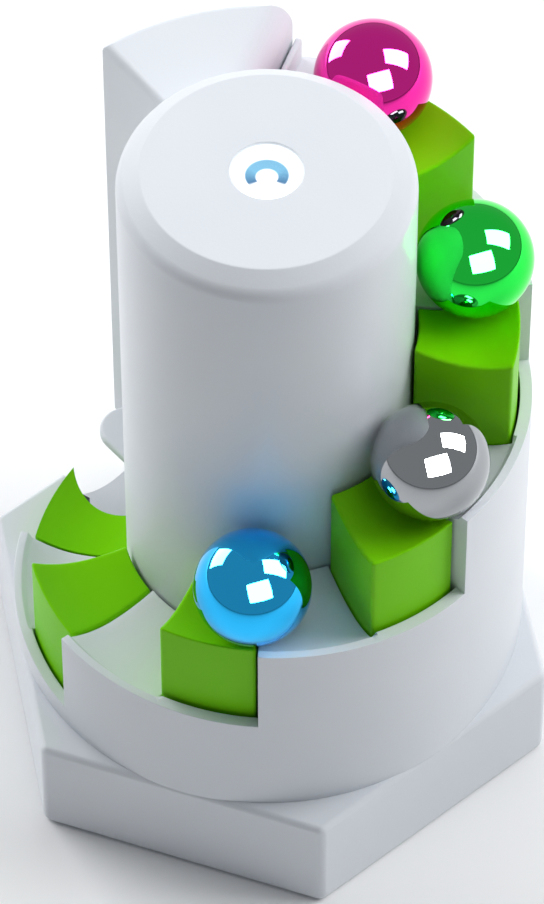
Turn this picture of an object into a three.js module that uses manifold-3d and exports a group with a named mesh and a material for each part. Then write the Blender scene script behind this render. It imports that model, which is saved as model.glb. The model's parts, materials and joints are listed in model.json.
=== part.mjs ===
// Marble run: a powered spiral stair that lifts marbles, standing on a hexagonal tile.
//
// Six step blocks ride on one lift ring. A constant-rise cam inside the column lowers and raises
// the ring, and each fixed floor slopes down to the next block, so a marble climbs one floor for
// every turn of the cam. Units are millimetres, +Z is up, and the origin is the middle of the
// tile's underside. Angles are degrees about +Z; the stair climbs with increasing angle.

import * as THREE from 'three';
import { mergeVertices } from 'three/addons/utils/BufferGeometryUtils.js';
import Module from 'manifold-3d';

const wasm = await Module();
wasm.setup();

// ---------------------------------------------------------------- driving dimensions

const GAP = 0.3; // working gap between neighbouring pieces

const TILE_ACROSS_FLATS = 57;
const TILE_HEIGHT = 13.8;
const WALL = 1.3; // skirt and drum wall
const DRUM_R = TILE_ACROSS_FLATS / 2;
const BORE_R = DRUM_R - WALL; // inside of the drum wall

const MARBLE_R = 6.35;
const MARBLE_PATH_R = 22.35; // radius of the marbles' way round the column

const COLUMN_R = 15.7;
const COLUMN_BORE_R = 14.3;
const COLUMN_HEIGHT = 87;
const COLUMN_TOP_R = 13.2; // flat top, inside the chamfer
const COLUMN_CHAMFER_H = 1.7;
const COLUMN_TOP_WALL = 1.6;
const COLUMN_BOTTOM = 1.5;

const STEP_COUNT = 6;
const STEP_PITCH = 50; // degrees from riser to riser
const STEP_RISE = 11.5; // one floor to the next, and the lift ring's stroke
const STEP_SPAN = 23.5; // degrees from a block's front face to its riser
const STEP_SIDE_GAP = 0.6; // degrees left between a block and its riser
const STEP_OUTER_R = 26.9;
const TRACK_INNER_R = COLUMN_R + GAP;
const FIRST_RISER = 187.5; // degrees
const FIRST_RIM = 17.8; // height of the first floor's rim at its riser
const TRACK_FALL = 0.025; // millimetres of fall per degree of travel
const WELL_CLEARANCE = 0.4; // degrees between a well's edge and its block

const TROUGH_R = 21.6; // lowest line of the dished track
const TROUGH_DEPTH = 2.5; // below the rim
const TROUGH_OUTER_BEND = 9; // bend radius of the dish, outer side
const TROUGH_INNER_BEND = 16; // bend radius of the dish, inner side
const RIM_WIDTH = 0.9;
const FLOOR_THICKNESS = 1.5;

const TOWER_FROM = 104; // degrees; the exit side is cut straight afterwards
const TOWER_TO = 147.7;
const TOWER_HEIGHT = 81.4;
const TOWER_WALL = 1.4;
const TOWER_EXIT_X = -7.4; // face beside the exit chute

const INLET_ANGLE = 150; // the flat where a marble rolls in
const INLET_R = 6.7; // round channel
const INLET_AXIS_Z = 12.9;
const INLET_CHEEK_FROM = 122; // degrees
const INLET_CHEEK_TO = 163;
const WAITING_ANGLE = 153.5; // where a marble waits against the first block
const EXIT_R = 6.6;
const EXIT_X = -7.1; // end of the last floor, beside the tower

const COVER_THICKNESS = 1.2;
const SCREW_CIRCLE_R = 28.6;
const SCREW_ANGLES = [0, 120, 240];
const BOSS_R = 1.9;

const RING_RAISED_Z = 13.0; // underside of the lift ring at the top of its stroke
const RING_THICKNESS = 1.1;
const RING_INNER_R = 24.4;
const RING_OUTER_R = 26.3;
const BLOCK_BASE_Z = RING_RAISED_Z + RING_THICKNESS + GAP;
const ARM_WIDTH = 5;
const ARM_ANGLES = [225, 45];
const SLEEVE_OUTER_R = 10.7;
const SLEEVE_INNER_R = 9.5;
const SLEEVE_TOP_Z = 20;
const FOLLOWER_WIDTH = 2;
const FOLLOWER_HEIGHT = 2;
const GUIDE_PIN_R = 1;
const GUIDE_PIN_CIRCLE_R = 21.5;
const GUIDE_PIN_ANGLES = [250.75, 350.75, 40.75];
const GUIDE_PIN_TOP_Z = 24;
const LUG_HALF_WIDTH = 2.6;

const CAM_R = 8.6;
const CAM_CLEARANCE = 0.8; // below the follower, which rides on a thin film of grease
const CAM_BOTTOM_Z = 2.4;
const SHAFT_R = 1.5;

const GEAR_MODULE = 0.5;
const WHEEL_TEETH = 22;
const PINION_TEETH = 10;
const GEAR_WIDTH = 2;
const FIRST_MESH_Z = 22.0; // cam wheel and the idler's pinion
const SECOND_MESH_Z = 24.4; // motor pinion and the idler's wheel
const IDLER_DISTANCE = GEAR_MODULE * (WHEEL_TEETH + PINION_TEETH) / 2;
const PLATE_R = 13.9;
const LOWER_PLATE_Z = 20.6;
const UPPER_PLATE_Z = 26.8;
const PLATE_THICKNESS = 1;

const MOTOR_BOTTOM_Z = 28.1;
const MOTOR_LENGTH = 18;
const MOTOR_R = 7.5;
const MOTOR_FLAT = 6; // half the distance across the motor's flats

const HOLDER_Z = 46.6;
const CELL_BOTTOM_Z = 48.5;
const CELL_LENGTH = 30;
const CELL_R = 5.9;
const CELL_CIRCLE_R = 6.95;
const BOARD_Z = 79.4;
const BOARD_THICKNESS = 1.2;

const BUTTON_R = 3.85;
const BUTTON_HOLE_R = 4.2;
const BUTTON_BOTTOM_Z = 83.4;

// ---------------------------------------------------------------- angles and heights

const radians = (degrees) => degrees * Math.PI / 180;
const at = (r, degrees) => [r * Math.cos(radians(degrees)), r * Math.sin(radians(degrees))];

const riser = (k) => FIRST_RISER + (k - 1) * STEP_PITCH;
const rim = (k, degrees) => FIRST_RIM + (k - 1) * STEP_RISE - TRACK_FALL * (degrees - riser(k));

function dish(r) {
  const bend = r > TROUGH_R ? TROUGH_OUTER_BEND : TROUGH_INNER_BEND;
  return (r - TROUGH_R) ** 2 / (2 * bend) - TROUGH_DEPTH;
}

// Angles from one end to the other, on a common five-degree grid so that neighbours share facets.
function span(from, to, step = 5) {
  const angles = [from];
  for (let a = Math.ceil((from + 0.01) / step) * step; a < to - 0.01; a += step) angles.push(a);
  angles.push(to);
  return angles;
}

// ---------------------------------------------------------------- solids

// A block between two radii and two angles. Its top and bottom are heights over (radius, angle).
// With closed set, the last angle joins the first and the block becomes a ring.
function arcBlock(radii, angles, topAt, bottomAt, closed = false) {
  const rows = radii.length;
  const columns = angles.length;
  const positions = [];
  for (const heightAt of [bottomAt, topAt]) {
    for (const r of radii) {
      for (const a of angles) positions.push(...at(r, a), heightAt(r, a));
    }
  }
  const indices = [];
  const vertex = (level, i, j) => level * rows * columns + i * columns + (j % columns);
  const quad = (a, b, c, d) => indices.push(a, b, c, a, c, d);
  const lastColumn = closed ? columns : columns - 1;
  for (let j = 0; j < lastColumn; j++) {
    for (let i = 0; i < rows - 1; i++) {
      quad(vertex(1, i, j), vertex(1, i + 1, j), vertex(1, i + 1, j + 1), vertex(1, i, j + 1));
      quad(vertex(0, i, j), vertex(0, i, j + 1), vertex(0, i + 1, j + 1), vertex(0, i + 1, j));
    }
    const out = rows - 1;
    quad(vertex(0, out, j), vertex(0, out, j + 1), vertex(1, out, j + 1), vertex(1, out, j));
    quad(vertex(0, 0, j + 1), vertex(0, 0, j), vertex(1, 0, j), vertex(1, 0, j + 1));
  }
  if (!closed) {
    const end = columns - 1;
    for (let i = 0; i < rows - 1; i++) {
      quad(vertex(0, i, 0), vertex(0, i + 1, 0), vertex(1, i + 1, 0), vertex(1, i, 0));
      quad(vertex(0, i + 1, end), vertex(0, i, end), vertex(1, i, end), vertex(1, i + 1, end));
    }
  }
  const geometry = new THREE.BufferGeometry();
  geometry.setAttribute('position', new THREE.Float32BufferAttribute(positions, 3));
  geometry.setIndex(indices);
  return geometry;
}

function flatArc(inner, outer, from, to, bottom, top) {
  return arcBlock([inner, outer], span(from, to), () => top, () => bottom);
}

function cylinder(r, bottom, top, x = 0, y = 0, sides = 24) {
  const geometry = new THREE.CylinderGeometry(r, r, top - bottom, sides);
  geometry.rotateX(Math.PI / 2);
  geometry.translate(x, y, (top + bottom) / 2);
  return geometry;
}

// Turned piece: [radius, height] points, which start and end on the axis or close on themselves.
function turned(profile, sides = 24) {
  const points = profile.map(([r, z]) => new THREE.Vector2(r, z));
  const geometry = new THREE.LatheGeometry(points, sides);
  geometry.rotateX(Math.PI / 2);
  return geometry;
}

function ring(inner, outer, bottom, top, sides = 24) {
  const profile = [[inner, bottom], [outer, bottom], [outer, top], [inner, top], [inner, bottom]];
  return turned(profile, sides);
}

function box(low, high) {
  const size = high.map((value, i) => value - low[i]);
  const geometry = new THREE.BoxGeometry(...size);
  geometry.translate(...high.map((value, i) => (value + low[i]) / 2));
  return geometry;
}

function hexagon(acrossFlats, bottom, top) {
  const shape = new THREE.Shape();
  for (let i = 0; i < 6; i++) {
    const [x, y] = at(acrossFlats / Math.sqrt(3), i * 60);
    if (i === 0) shape.moveTo(x, y);
    else shape.lineTo(x, y);
  }
  shape.closePath();
  const geometry = new THREE.ExtrudeGeometry(shape, { depth: top - bottom, bevelEnabled: false });
  geometry.translate(0, 0, bottom);
  return geometry;
}

// Trapezoid-toothed spur gear about the Z axis, with its first tooth at the given phase.
function spurGear(teeth, bottom, top, phase, boreR) {
  const pitchR = GEAR_MODULE * teeth / 2;
  const tipR = pitchR + 0.8 * GEAR_MODULE;
  const rootR = pitchR - 1.2 * GEAR_MODULE;
  const pitch = 360 / teeth;
  const shape = new THREE.Shape();
  for (let i = 0; i < teeth; i++) {
    const middle = phase + i * pitch;
    const corners = [[rootR, -0.27], [tipR, -0.11], [tipR, 0.11], [rootR, 0.27]];
    corners.forEach(([r, share], n) => {
      const [x, y] = at(r, middle + share * pitch);
      if (i === 0 && n === 0) shape.moveTo(x, y);
      else shape.lineTo(x, y);
    });
  }
  shape.closePath();
  const hole = new THREE.Path();
  hole.absarc(0, 0, boreR, 0, 2 * Math.PI, true);
  shape.holes.push(hole);
  const options = { depth: top - bottom, bevelEnabled: false, curveSegments: 12 };
  const geometry = new THREE.ExtrudeGeometry(shape, options);
  geometry.translate(0, 0, bottom);
  return geometry;
}

function turnedAbout(geometry, degrees) {
  return geometry.clone().rotateZ(radians(degrees));
}

// ---------------------------------------------------------------- joining and cutting

function toSolid(geometry) {
  const bare = geometry.index ? geometry.clone() : mergeVertices(geometry, 1e-5);
  bare.deleteAttribute('normal');
  bare.deleteAttribute('uv');
  const merged = mergeVertices(bare, 1e-5);
  const triangles = [];
  for (let i = 0; i < merged.index.count; i += 3) {
    const corners = [0, 1, 2].map((n) => merged.index.getX(i + n));
    if (new Set(corners).size === 3) triangles.push(...corners);
  }
  return new wasm.Manifold(new wasm.Mesh({
    numProp: 3,
    vertProperties: new Float32Array(merged.attributes.position.array),
    triVerts: new Uint32Array(triangles),
  }));
}

function toGeometry(solid) {
  const mesh = solid.getMesh();
  const geometry = new THREE.BufferGeometry();
  geometry.setAttribute('position', new THREE.BufferAttribute(mesh.vertProperties, 3));
  geometry.setIndex(new THREE.BufferAttribute(mesh.triVerts, 1));
  geometry.computeVertexNormals();
  return geometry;
}

const join = (...geometries) => geometries.map(toSolid).reduce((a, b) => a.add(b));
const cut = (solid, ...geometries) => geometries.map(toSolid).reduce((a, b) => a.subtract(b), solid);

// ---------------------------------------------------------------- materials and nodes

const FINISHES = {
  housing: { color: '#dfe3e8', roughness: 0.42, metalness: 0 },
  step: { color: '#55a81a', roughness: 0.45, metalness: 0 },
  cover: { color: '#8d949c', roughness: 0.6, metalness: 0 },
  steel: { color: '#b9bdc2', roughness: 0.25, metalness: 1 },
  gear: { color: '#efe9d8', roughness: 0.5, metalness: 0 },
  cam: { color: '#3a3f45', roughness: 0.5, metalness: 0 },
  motor: { color: '#c3c6ca', roughness: 0.3, metalness: 1 },
  board: { color: '#1d6b3c', roughness: 0.5, metalness: 0 },
  dark: { color: '#202327', roughness: 0.5, metalness: 0 },
  cell: { color: '#c98b2b', roughness: 0.35, metalness: 0.3 },
  contact: { color: '#d8cfa6', roughness: 0.3, metalness: 1 },
  led: { color: '#cfe8ff', roughness: 0.2, metalness: 0 },
  button: { color: '#f4f9ff', roughness: 0.25, metalness: 0 },
  pink: { color: '#e6198c', roughness: 0.08, metalness: 1 },
  green: { color: '#00b52e', roughness: 0.08, metalness: 1 },
  silver: { color: '#c9ccd0', roughness: 0.06, metalness: 1 },
  blue: { color: '#0090d0', roughness: 0.08, metalness: 1 },
};

const marbleRun = new THREE.Group();

function node(name, shape, finish) {
  const geometry = shape instanceof THREE.BufferGeometry ? shape : toGeometry(shape);
  const mesh = new THREE.Mesh(geometry, new THREE.MeshStandardMaterial(FINISHES[finish]));
  mesh.name = name;
  marbleRun.add(mesh);
  return mesh;
}

// ---------------------------------------------------------------- tile and covers

function inletChannel() {
  const length = 20;
  const bore = new THREE.CylinderGeometry(INLET_R, INLET_R, length, 24);
  bore.rotateZ(Math.PI / 2);
  bore.translate(TRACK_INNER_R + length / 2 - 4, 0, INLET_AXIS_Z);
  return turnedAbout(bore, INLET_ANGLE);
}

function inletSlot() {
  const slot = box([TRACK_INNER_R - 4, -INLET_R, INLET_AXIS_Z], [DRUM_R + 4, INLET_R, TILE_HEIGHT + 1]);
  return turnedAbout(slot, INLET_ANGLE);
}

function tile() {
  const skirtInside = hexagon(TILE_ACROSS_FLATS - 2 * WALL, -1, TILE_HEIGHT - WALL);
  const shell = cut(
    toSolid(hexagon(TILE_ACROSS_FLATS, 0, TILE_HEIGHT)),
    skirtInside,
    arcBlock([0.5, BORE_R], span(0, 355), () => TILE_HEIGHT + 1, () => TILE_HEIGHT - 2 * WALL, true),
    cylinder(2, TILE_HEIGHT - 2 * WALL, TILE_HEIGHT + 1),
  );
  const cheekBottom = INLET_AXIS_Z - INLET_R - FLOOR_THICKNESS;
  const cheeks = flatArc(TRACK_INNER_R, 32, INLET_CHEEK_FROM, INLET_CHEEK_TO, cheekBottom, TILE_HEIGHT);
  const cheeksInTile = toSolid(cheeks).intersect(toSolid(hexagon(TILE_ACROSS_FLATS, 0, TILE_HEIGHT)));
  let solid = shell.add(cheeksInTile);
  for (const angle of SCREW_ANGLES) {
    const [x, y] = at(SCREW_CIRCLE_R, angle);
    solid = solid.add(toSolid(cylinder(BOSS_R, COVER_THICKNESS + GAP, TILE_HEIGHT - WALL / 2, x, y, 16)));
    solid = solid.subtract(toSolid(cylinder(1, 0, 9, x, y, 12)));
  }
  return cut(solid, inletChannel(), inletSlot());
}

function bottomCover() {
  const outline = hexagon(TILE_ACROSS_FLATS - 2 * (WALL + GAP), 0, COVER_THICKNESS);
  let solid = join(outline, ring(SHAFT_R + GAP, 3, COVER_THICKNESS - 0.2, CAM_BOTTOM_Z - GAP));
  for (const angle of SCREW_ANGLES) {
    const [x, y] = at(SCREW_CIRCLE_R, angle);
    solid = cut(solid, cylinder(1, -1, 3, x, y, 12), cylinder(1.6, -1, 0.6, x, y, 16));
  }
  for (const angle of COLUMN_SCREW_ANGLES) {
    const [x, y] = at(COLUMN_BOSS_CIRCLE_R, angle);
    solid = cut(solid, cylinder(1, -1, 3, x, y, 12), cylinder(1.6, -1, 0.6, x, y, 16));
  }
  return solid;
}

const screwProfile = (length) => [[0, 0.05], [1.4, 0.05], [1.4, 0.5], [0.7, 0.5], [0.7, length], [0, length]];

function screw(circleR, angle, length) {
  const [x, y] = at(circleR, angle);
  return turned(screwProfile(length), 12).translate(x, y, 0);
}

// ---------------------------------------------------------------- drum with its fixed floors

const rimInnerR = DRUM_R - RIM_WIDTH;
const RING_STEP_R = 24; // inside this radius a piece may reach down beside the lift ring
const FLOOR_RADII = [TRACK_INNER_R, 18, 20, TROUGH_R, 23.3, 24.1, 25.8, rimInnerR - 0.3, rimInnerR, DRUM_R];

function floorTop(k) {
  return (r, a) => rim(k, a) + (r >= rimInnerR ? 0 : dish(r));
}

function floorBlock(k, to) {
  const thinOuter = (r, a) => Math.max(rim(k, a) - TROUGH_DEPTH - FLOOR_THICKNESS, BLOCK_BASE_Z);
  const thinInner = (r, a) => rim(k, a) - TROUGH_DEPTH - FLOOR_THICKNESS;
  const bottomAt = (r, a) => (r > RING_STEP_R ? thinOuter(r, a) : thinInner(r, a));
  return arcBlock(FLOOR_RADII, span(riser(k), to), floorTop(k), bottomAt);
}

function wallBlock(k, to) {
  return arcBlock([BORE_R, DRUM_R], span(riser(k), to), (r, a) => rim(k, a), () => TILE_HEIGHT + GAP);
}

// Radial web below a floor's end, which guides the block beside it.
function riserWeb(k) {
  const top = (r, a) => rim(k, a) - TROUGH_DEPTH;
  const drop = k === 1 ? BLOCK_BASE_Z : Math.max(rim(k - 1, riser(k)) - TROUGH_DEPTH - 6, BLOCK_BASE_Z);
  return arcBlock([TRACK_INNER_R, BORE_R + 0.5], [riser(k), riser(k) + 2.5], top, () => drop);
}

const EXIT_FLOOR_TO = 115;
const FLOOR_6_END = 360 + EXIT_FLOOR_TO;

function exitChute() {
  const length = 12;
  const groove = new THREE.CylinderGeometry(EXIT_R, EXIT_R, length, 24);
  groove.translate(0, TROUGH_R + length / 2, rim(STEP_COUNT, 450) - TROUGH_DEPTH + EXIT_R);
  return groove;
}

function exitCheek() {
  const exitRim = rim(STEP_COUNT, 460);
  return box([EXIT_X, 21, exitRim - 6], [EXIT_X + 0.9, 27.3, exitRim + 1.3]);
}

function drum() {
  const pieces = [];
  for (let k = 1; k < STEP_COUNT; k++) {
    const wellStart = riser(k + 1) - STEP_SPAN - WELL_CLEARANCE;
    pieces.push(floorBlock(k, wellStart), wallBlock(k, riser(k + 1)), riserWeb(k));
  }
  pieces.push(floorBlock(STEP_COUNT, FLOOR_6_END), wallBlock(STEP_COUNT, 470), riserWeb(STEP_COUNT));
  const besideTower = box([-40, 0, 0], [EXIT_X, 40, 100]);
  const solid = cut(join(...pieces), besideTower, exitChute());
  return solid.add(toSolid(exitCheek()));
}

// ---------------------------------------------------------------- tower beside the exit

function tower() {
  const bottom = TILE_HEIGHT + GAP;
  const outside = flatArc(TRACK_INNER_R + 0.1, DRUM_R, TOWER_FROM, TOWER_TO, bottom, TOWER_HEIGHT);
  const inside = flatArc(
    TRACK_INNER_R + 0.1 + TOWER_WALL, BORE_R, TOWER_FROM, TOWER_TO - 3.5, bottom - 1, TOWER_HEIGHT - TOWER_WALL,
  );
  const exitSide = box([TOWER_EXIT_X, 0, 0], [40, 40, 100]);
  const exitSideWall = box([TOWER_EXIT_X - TOWER_WALL, 0, 0], [40, 40, 100]);
  const hollow = toSolid(inside).subtract(toSolid(exitSideWall));
  const shell = cut(toSolid(outside), exitSide).subtract(hollow);
  const roofZ = INLET_AXIS_Z + INLET_R + GAP;
  const roof = turnedAbout(box([TRACK_INNER_R + 0.3, -6, roofZ], [25, 3.5, roofZ + TOWER_WALL]), INLET_ANGLE);
  const roofEnd = cylinder(3, roofZ, roofZ + TOWER_WALL, 0, 0, 16).translate(24.3, 0.5, 0);
  return cut(shell, inletChannel(), inletSlot())
    .add(toSolid(roof))
    .add(toSolid(turnedAbout(roofEnd, INLET_ANGLE)));
}

// ---------------------------------------------------------------- column

const COLUMN_SCREW_ANGLES = [135, 315];
const COLUMN_BOSS_CIRCLE_R = 12.9;

function column() {
  const chamferZ = COLUMN_HEIGHT - COLUMN_CHAMFER_H;
  const topInside = COLUMN_HEIGHT - COLUMN_TOP_WALL;
  let solid = toSolid(turned([
    [COLUMN_BORE_R, COLUMN_BOTTOM], [COLUMN_R, COLUMN_BOTTOM], [COLUMN_R, chamferZ],
    [COLUMN_TOP_R, COLUMN_HEIGHT], [BUTTON_HOLE_R, COLUMN_HEIGHT], [BUTTON_HOLE_R, topInside],
    [COLUMN_BORE_R, topInside], [COLUMN_BORE_R, COLUMN_BOTTOM],
  ], 48));
  const slotHalf = ARM_WIDTH / 2 + 0.5;
  const slotTop = RING_RAISED_Z + RING_THICKNESS + 0.6;
  for (const angle of ARM_ANGLES) {
    solid = cut(solid, turnedAbout(box([12, -slotHalf, 0], [17, slotHalf, slotTop]), angle));
  }
  for (const angle of COLUMN_SCREW_ANGLES) {
    const [x, y] = at(COLUMN_BOSS_CIRCLE_R, angle);
    solid = solid.add(toSolid(cylinder(1.7, COLUMN_BOTTOM, 16, x, y, 16)));
    solid = cut(solid, cylinder(1, 0, 9, x, y, 12));
  }
  return solid;
}

// ---------------------------------------------------------------- lift ring and blocks

function liftRing() {
  const top = RING_RAISED_Z + RING_THICKNESS;
  const ringStart = FIRST_RISER - STEP_SPAN + 2;
  const ringEnd = riser(STEP_COUNT) - 2;
  let solid = join(
    flatArc(RING_INNER_R, RING_OUTER_R, ringStart, ringEnd, RING_RAISED_Z, top),
    ring(SLEEVE_INNER_R, SLEEVE_OUTER_R, RING_RAISED_Z, SLEEVE_TOP_Z),
  );
  for (const angle of ARM_ANGLES) {
    const arm = box([SLEEVE_INNER_R + 0.5, -ARM_WIDTH / 2, RING_RAISED_Z], [RING_INNER_R + 1, ARM_WIDTH / 2, top]);
    solid = solid.add(toSolid(turnedAbout(arm, angle)));
  }
  const follower = box(
    [5.6, -FOLLOWER_WIDTH / 2, SLEEVE_TOP_Z - FOLLOWER_HEIGHT], [SLEEVE_INNER_R + 0.5, FOLLOWER_WIDTH / 2, SLEEVE_TOP_Z],
  );
  solid = solid.add(toSolid(turnedAbout(follower, ARM_ANGLES[0])));
  for (const angle of GUIDE_PIN_ANGLES) {
    const lug = box([GUIDE_PIN_CIRCLE_R - 2.6, -LUG_HALF_WIDTH, RING_RAISED_Z], [RING_INNER_R + 1, LUG_HALF_WIDTH, top]);
    const [x, y] = at(GUIDE_PIN_CIRCLE_R, angle);
    solid = cut(solid.add(toSolid(turnedAbout(lug, angle))), cylinder(GUIDE_PIN_R + GAP, 0, 20, x, y, 12));
  }
  return solid;
}

const BLOCK_RADII = [TRACK_INNER_R + 0.1, 18, 20, TROUGH_R, 23.3, 24.1, 25.4, STEP_OUTER_R];

function stepBlock(k) {
  const from = riser(k) - STEP_SPAN;
  const to = riser(k) - STEP_SIDE_GAP;
  const topAt = (r, a) => rim(k, a) + dish(r);
  const bottomAt = (r) => (k === 1 && r < RING_STEP_R ? RING_RAISED_Z : BLOCK_BASE_Z);
  const block = arcBlock(BLOCK_RADII, span(from, to), topAt, bottomAt);
  if (k > 1) return block;
  const [x, y] = at(MARBLE_PATH_R, WAITING_ANGLE);
  return cut(toSolid(block), cylinder(MARBLE_R + GAP, 0, 40, x, y, 32));
}

// ---------------------------------------------------------------- cam and gears

function cam() {
  const peakAngle = ARM_ANGLES[0];
  const peak = SLEEVE_TOP_Z - FOLLOWER_HEIGHT - CAM_CLEARANCE;
  const topAt = (r, a) => {
    const turn = ((a - peakAngle) % 360 + 360) % 360;
    return peak - STEP_RISE * Math.min(turn, 360 - turn) / 180;
  };
  const angles = Array.from({ length: 24 }, (_, i) => peakAngle + i * 15);
  return arcBlock([SHAFT_R + 0.25, 5, CAM_R], angles, topAt, () => CAM_BOTTOM_Z, true);
}

function idlerGear() {
  const pinionPhase = 180 / PINION_TEETH;
  const wheelPhase = 180 / WHEEL_TEETH;
  const pinion = spurGear(PINION_TEETH, FIRST_MESH_Z, SECOND_MESH_Z + 0.5, pinionPhase, 1.2);
  const wheel = spurGear(WHEEL_TEETH, SECOND_MESH_Z, SECOND_MESH_Z + GEAR_WIDTH, wheelPhase, 1.2);
  return toGeometry(join(pinion, wheel)).translate(IDLER_DISTANCE, 0, 0);
}

function gearPlateLower() {
  let solid = join(cylinder(PLATE_R, LOWER_PLATE_Z, LOWER_PLATE_Z + PLATE_THICKNESS, 0, 0, 36));
  for (const angle of [90, 180, 270]) {
    const [x, y] = at(12, angle);
    solid = solid.add(toSolid(cylinder(1.2, LOWER_PLATE_Z + 0.2, UPPER_PLATE_Z - GAP, x, y, 12)));
  }
  return cut(solid, cylinder(SHAFT_R + GAP, 0, 40, 0, 0, 16));
}

function gearPlateUpper() {
  const plate = cylinder(PLATE_R, UPPER_PLATE_Z, UPPER_PLATE_Z + PLATE_THICKNESS, 0, 0, 36);
  return cut(toSolid(plate), cylinder(1.2, 0, 40, 0, 0, 12));
}

function motor() {
  const top = MOTOR_BOTTOM_Z + MOTOR_LENGTH;
  const can = toSolid(cylinder(MOTOR_R, MOTOR_BOTTOM_Z, top, 0, 0, 32));
  const slab = box([-MOTOR_R - 1, -MOTOR_FLAT, MOTOR_BOTTOM_Z - 1], [MOTOR_R + 1, MOTOR_FLAT, top + 1]);
  return cut(can.intersect(toSolid(slab)), cylinder(1.1, 0, MOTOR_BOTTOM_Z + 2, 0, 0, 12));
}

// ---------------------------------------------------------------- power and switch

const CELL_ANGLES = [90, 210, 330];

function cell(angle) {
  const shoulder = CELL_BOTTOM_Z + CELL_LENGTH - 0.8;
  const profile = [
    [0, CELL_BOTTOM_Z], [CELL_R, CELL_BOTTOM_Z], [CELL_R, shoulder], [2, shoulder],
    [2, shoulder + 0.8], [0, shoulder + 0.8],
  ];
  const [x, y] = at(CELL_CIRCLE_R, angle);
  return turned(profile, 20).translate(x, y, 0);
}

function batteryHolder() {
  let solid = toSolid(cylinder(PLATE_R, HOLDER_Z, HOLDER_Z + PLATE_THICKNESS, 0, 0, 36));
  for (const angle of [30, 150, 270]) {
    const rib = box([12.5, -1, HOLDER_Z + 0.5], [13.8, 1, BOARD_Z - GAP]);
    solid = solid.add(toSolid(turnedAbout(rib, angle)));
  }
  return solid;
}

function buttonCap() {
  const flangeR = 5;
  const flangeTop = COLUMN_HEIGHT - COLUMN_TOP_WALL - GAP;
  const dished = 0.5;
  return turned([
    [0, BUTTON_BOTTOM_Z], [BUTTON_R, BUTTON_BOTTOM_Z], [BUTTON_R, flangeTop - 0.9], [flangeR, flangeTop - 0.9],
    [flangeR, flangeTop], [BUTTON_R, flangeTop], [BUTTON_R, COLUMN_HEIGHT], [BUTTON_R - 0.8, COLUMN_HEIGHT],
    [1.6, COLUMN_HEIGHT - dished], [0, COLUMN_HEIGHT - dished],
  ], 32);
}

function switchBody() {
  const base = BOARD_Z + BOARD_THICKNESS + GAP;
  return cut(toSolid(box([-3, -3, base], [3, 3, base + 1.6])), cylinder(1.8, base + 0.3, 90, 0, 0, 16));
}

// ---------------------------------------------------------------- marbles

// Each marble lies in the track's dish, one floor apart, on the edge between a block and a floor.
const MARBLES = [
  { name: 'marble_blue', finish: 'blue', floor: 3, angle: 285.5 },
  { name: 'marble_silver', finish: 'silver', floor: 4, angle: 340 },
  { name: 'marble_green', finish: 'green', floor: 5, angle: 390 },
  { name: 'marble_pink', finish: 'pink', floor: 6, angle: 439.5 },
];

function marble({ floor, angle }) {
  const [x, y] = at(MARBLE_PATH_R, angle);
  const z = rim(floor, angle) + dish(MARBLE_PATH_R) + MARBLE_R + GAP;
  return new THREE.SphereGeometry(MARBLE_R, 18, 12).translate(x, y, z);
}

// ---------------------------------------------------------------- assembly

node('hex_tile', tile(), 'housing');
node('bottom_cover', bottomCover(), 'cover');
SCREW_ANGLES.forEach((angle, i) => node(`cover_screw_${i + 1}`, screw(SCREW_CIRCLE_R, angle, 8), 'steel'));
COLUMN_SCREW_ANGLES.forEach((angle, i) => {
  node(`column_screw_${i + 1}`, screw(COLUMN_BOSS_CIRCLE_R, angle, 8), 'steel');
});
node('track_drum', drum(), 'housing');
node('exit_tower', tower(), 'housing');
node('column_shell', column(), 'housing');

node('lift_ring', liftRing(), 'cam');
for (let k = 1; k <= STEP_COUNT; k++) node(`step_${k}`, stepBlock(k), 'step');
GUIDE_PIN_ANGLES.forEach((angle, i) => {
  const [x, y] = at(GUIDE_PIN_CIRCLE_R, angle);
  node(`guide_pin_${i + 1}`, cylinder(GUIDE_PIN_R, COVER_THICKNESS + GAP, GUIDE_PIN_TOP_Z, x, y, 12), 'steel');
});

node('cam', cam(), 'cam');
node('cam_shaft', cylinder(SHAFT_R, COVER_THICKNESS + GAP, FIRST_MESH_Z + GEAR_WIDTH, 0, 0, 16), 'steel');
node('cam_gear', spurGear(WHEEL_TEETH, FIRST_MESH_Z, FIRST_MESH_Z + GEAR_WIDTH, 0, SHAFT_R + 0.25), 'gear');
node('idler_gear', idlerGear(), 'gear');
node('idler_pin', cylinder(0.9, LOWER_PLATE_Z + PLATE_THICKNESS + GAP, UPPER_PLATE_Z - GAP, IDLER_DISTANCE, 0, 12), 'steel');
node('motor_pinion', spurGear(PINION_TEETH, SECOND_MESH_Z, SECOND_MESH_Z + GEAR_WIDTH, 0, 1), 'gear');
node('motor_shaft', cylinder(0.75, SECOND_MESH_Z, MOTOR_BOTTOM_Z + 1.5, 0, 0, 12), 'steel');
node('gear_plate_lower', gearPlateLower(), 'cover');
node('gear_plate_upper', gearPlateUpper(), 'cover');
node('motor', motor(), 'motor');

node('battery_holder', batteryHolder(), 'dark');
CELL_ANGLES.forEach((angle, i) => node(`battery_${i + 1}`, cell(angle), 'cell'));
node('contact_plate_lower', cylinder(11.5, 47.9, 48.2, 0, 0, 24), 'contact');
node('contact_plate_upper', cylinder(11.5, 78.8, 79.1, 0, 0, 24), 'contact');
node('circuit_board', cylinder(13.6, BOARD_Z, BOARD_Z + BOARD_THICKNESS, 0, 0, 32), 'board');
node('switch_body', switchBody(), 'dark');
node('switch_plunger', cylinder(1.5, 82, 83.1, 0, 0, 16), 'button');
[90, 270].forEach((angle, i) => {
  const [x, y] = at(5.2, angle);
  node(`led_${i + 1}`, cylinder(1, BOARD_Z + BOARD_THICKNESS + GAP, 82.2, x, y, 12), 'led');
});
node('button_cap', buttonCap(), 'button');

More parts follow.
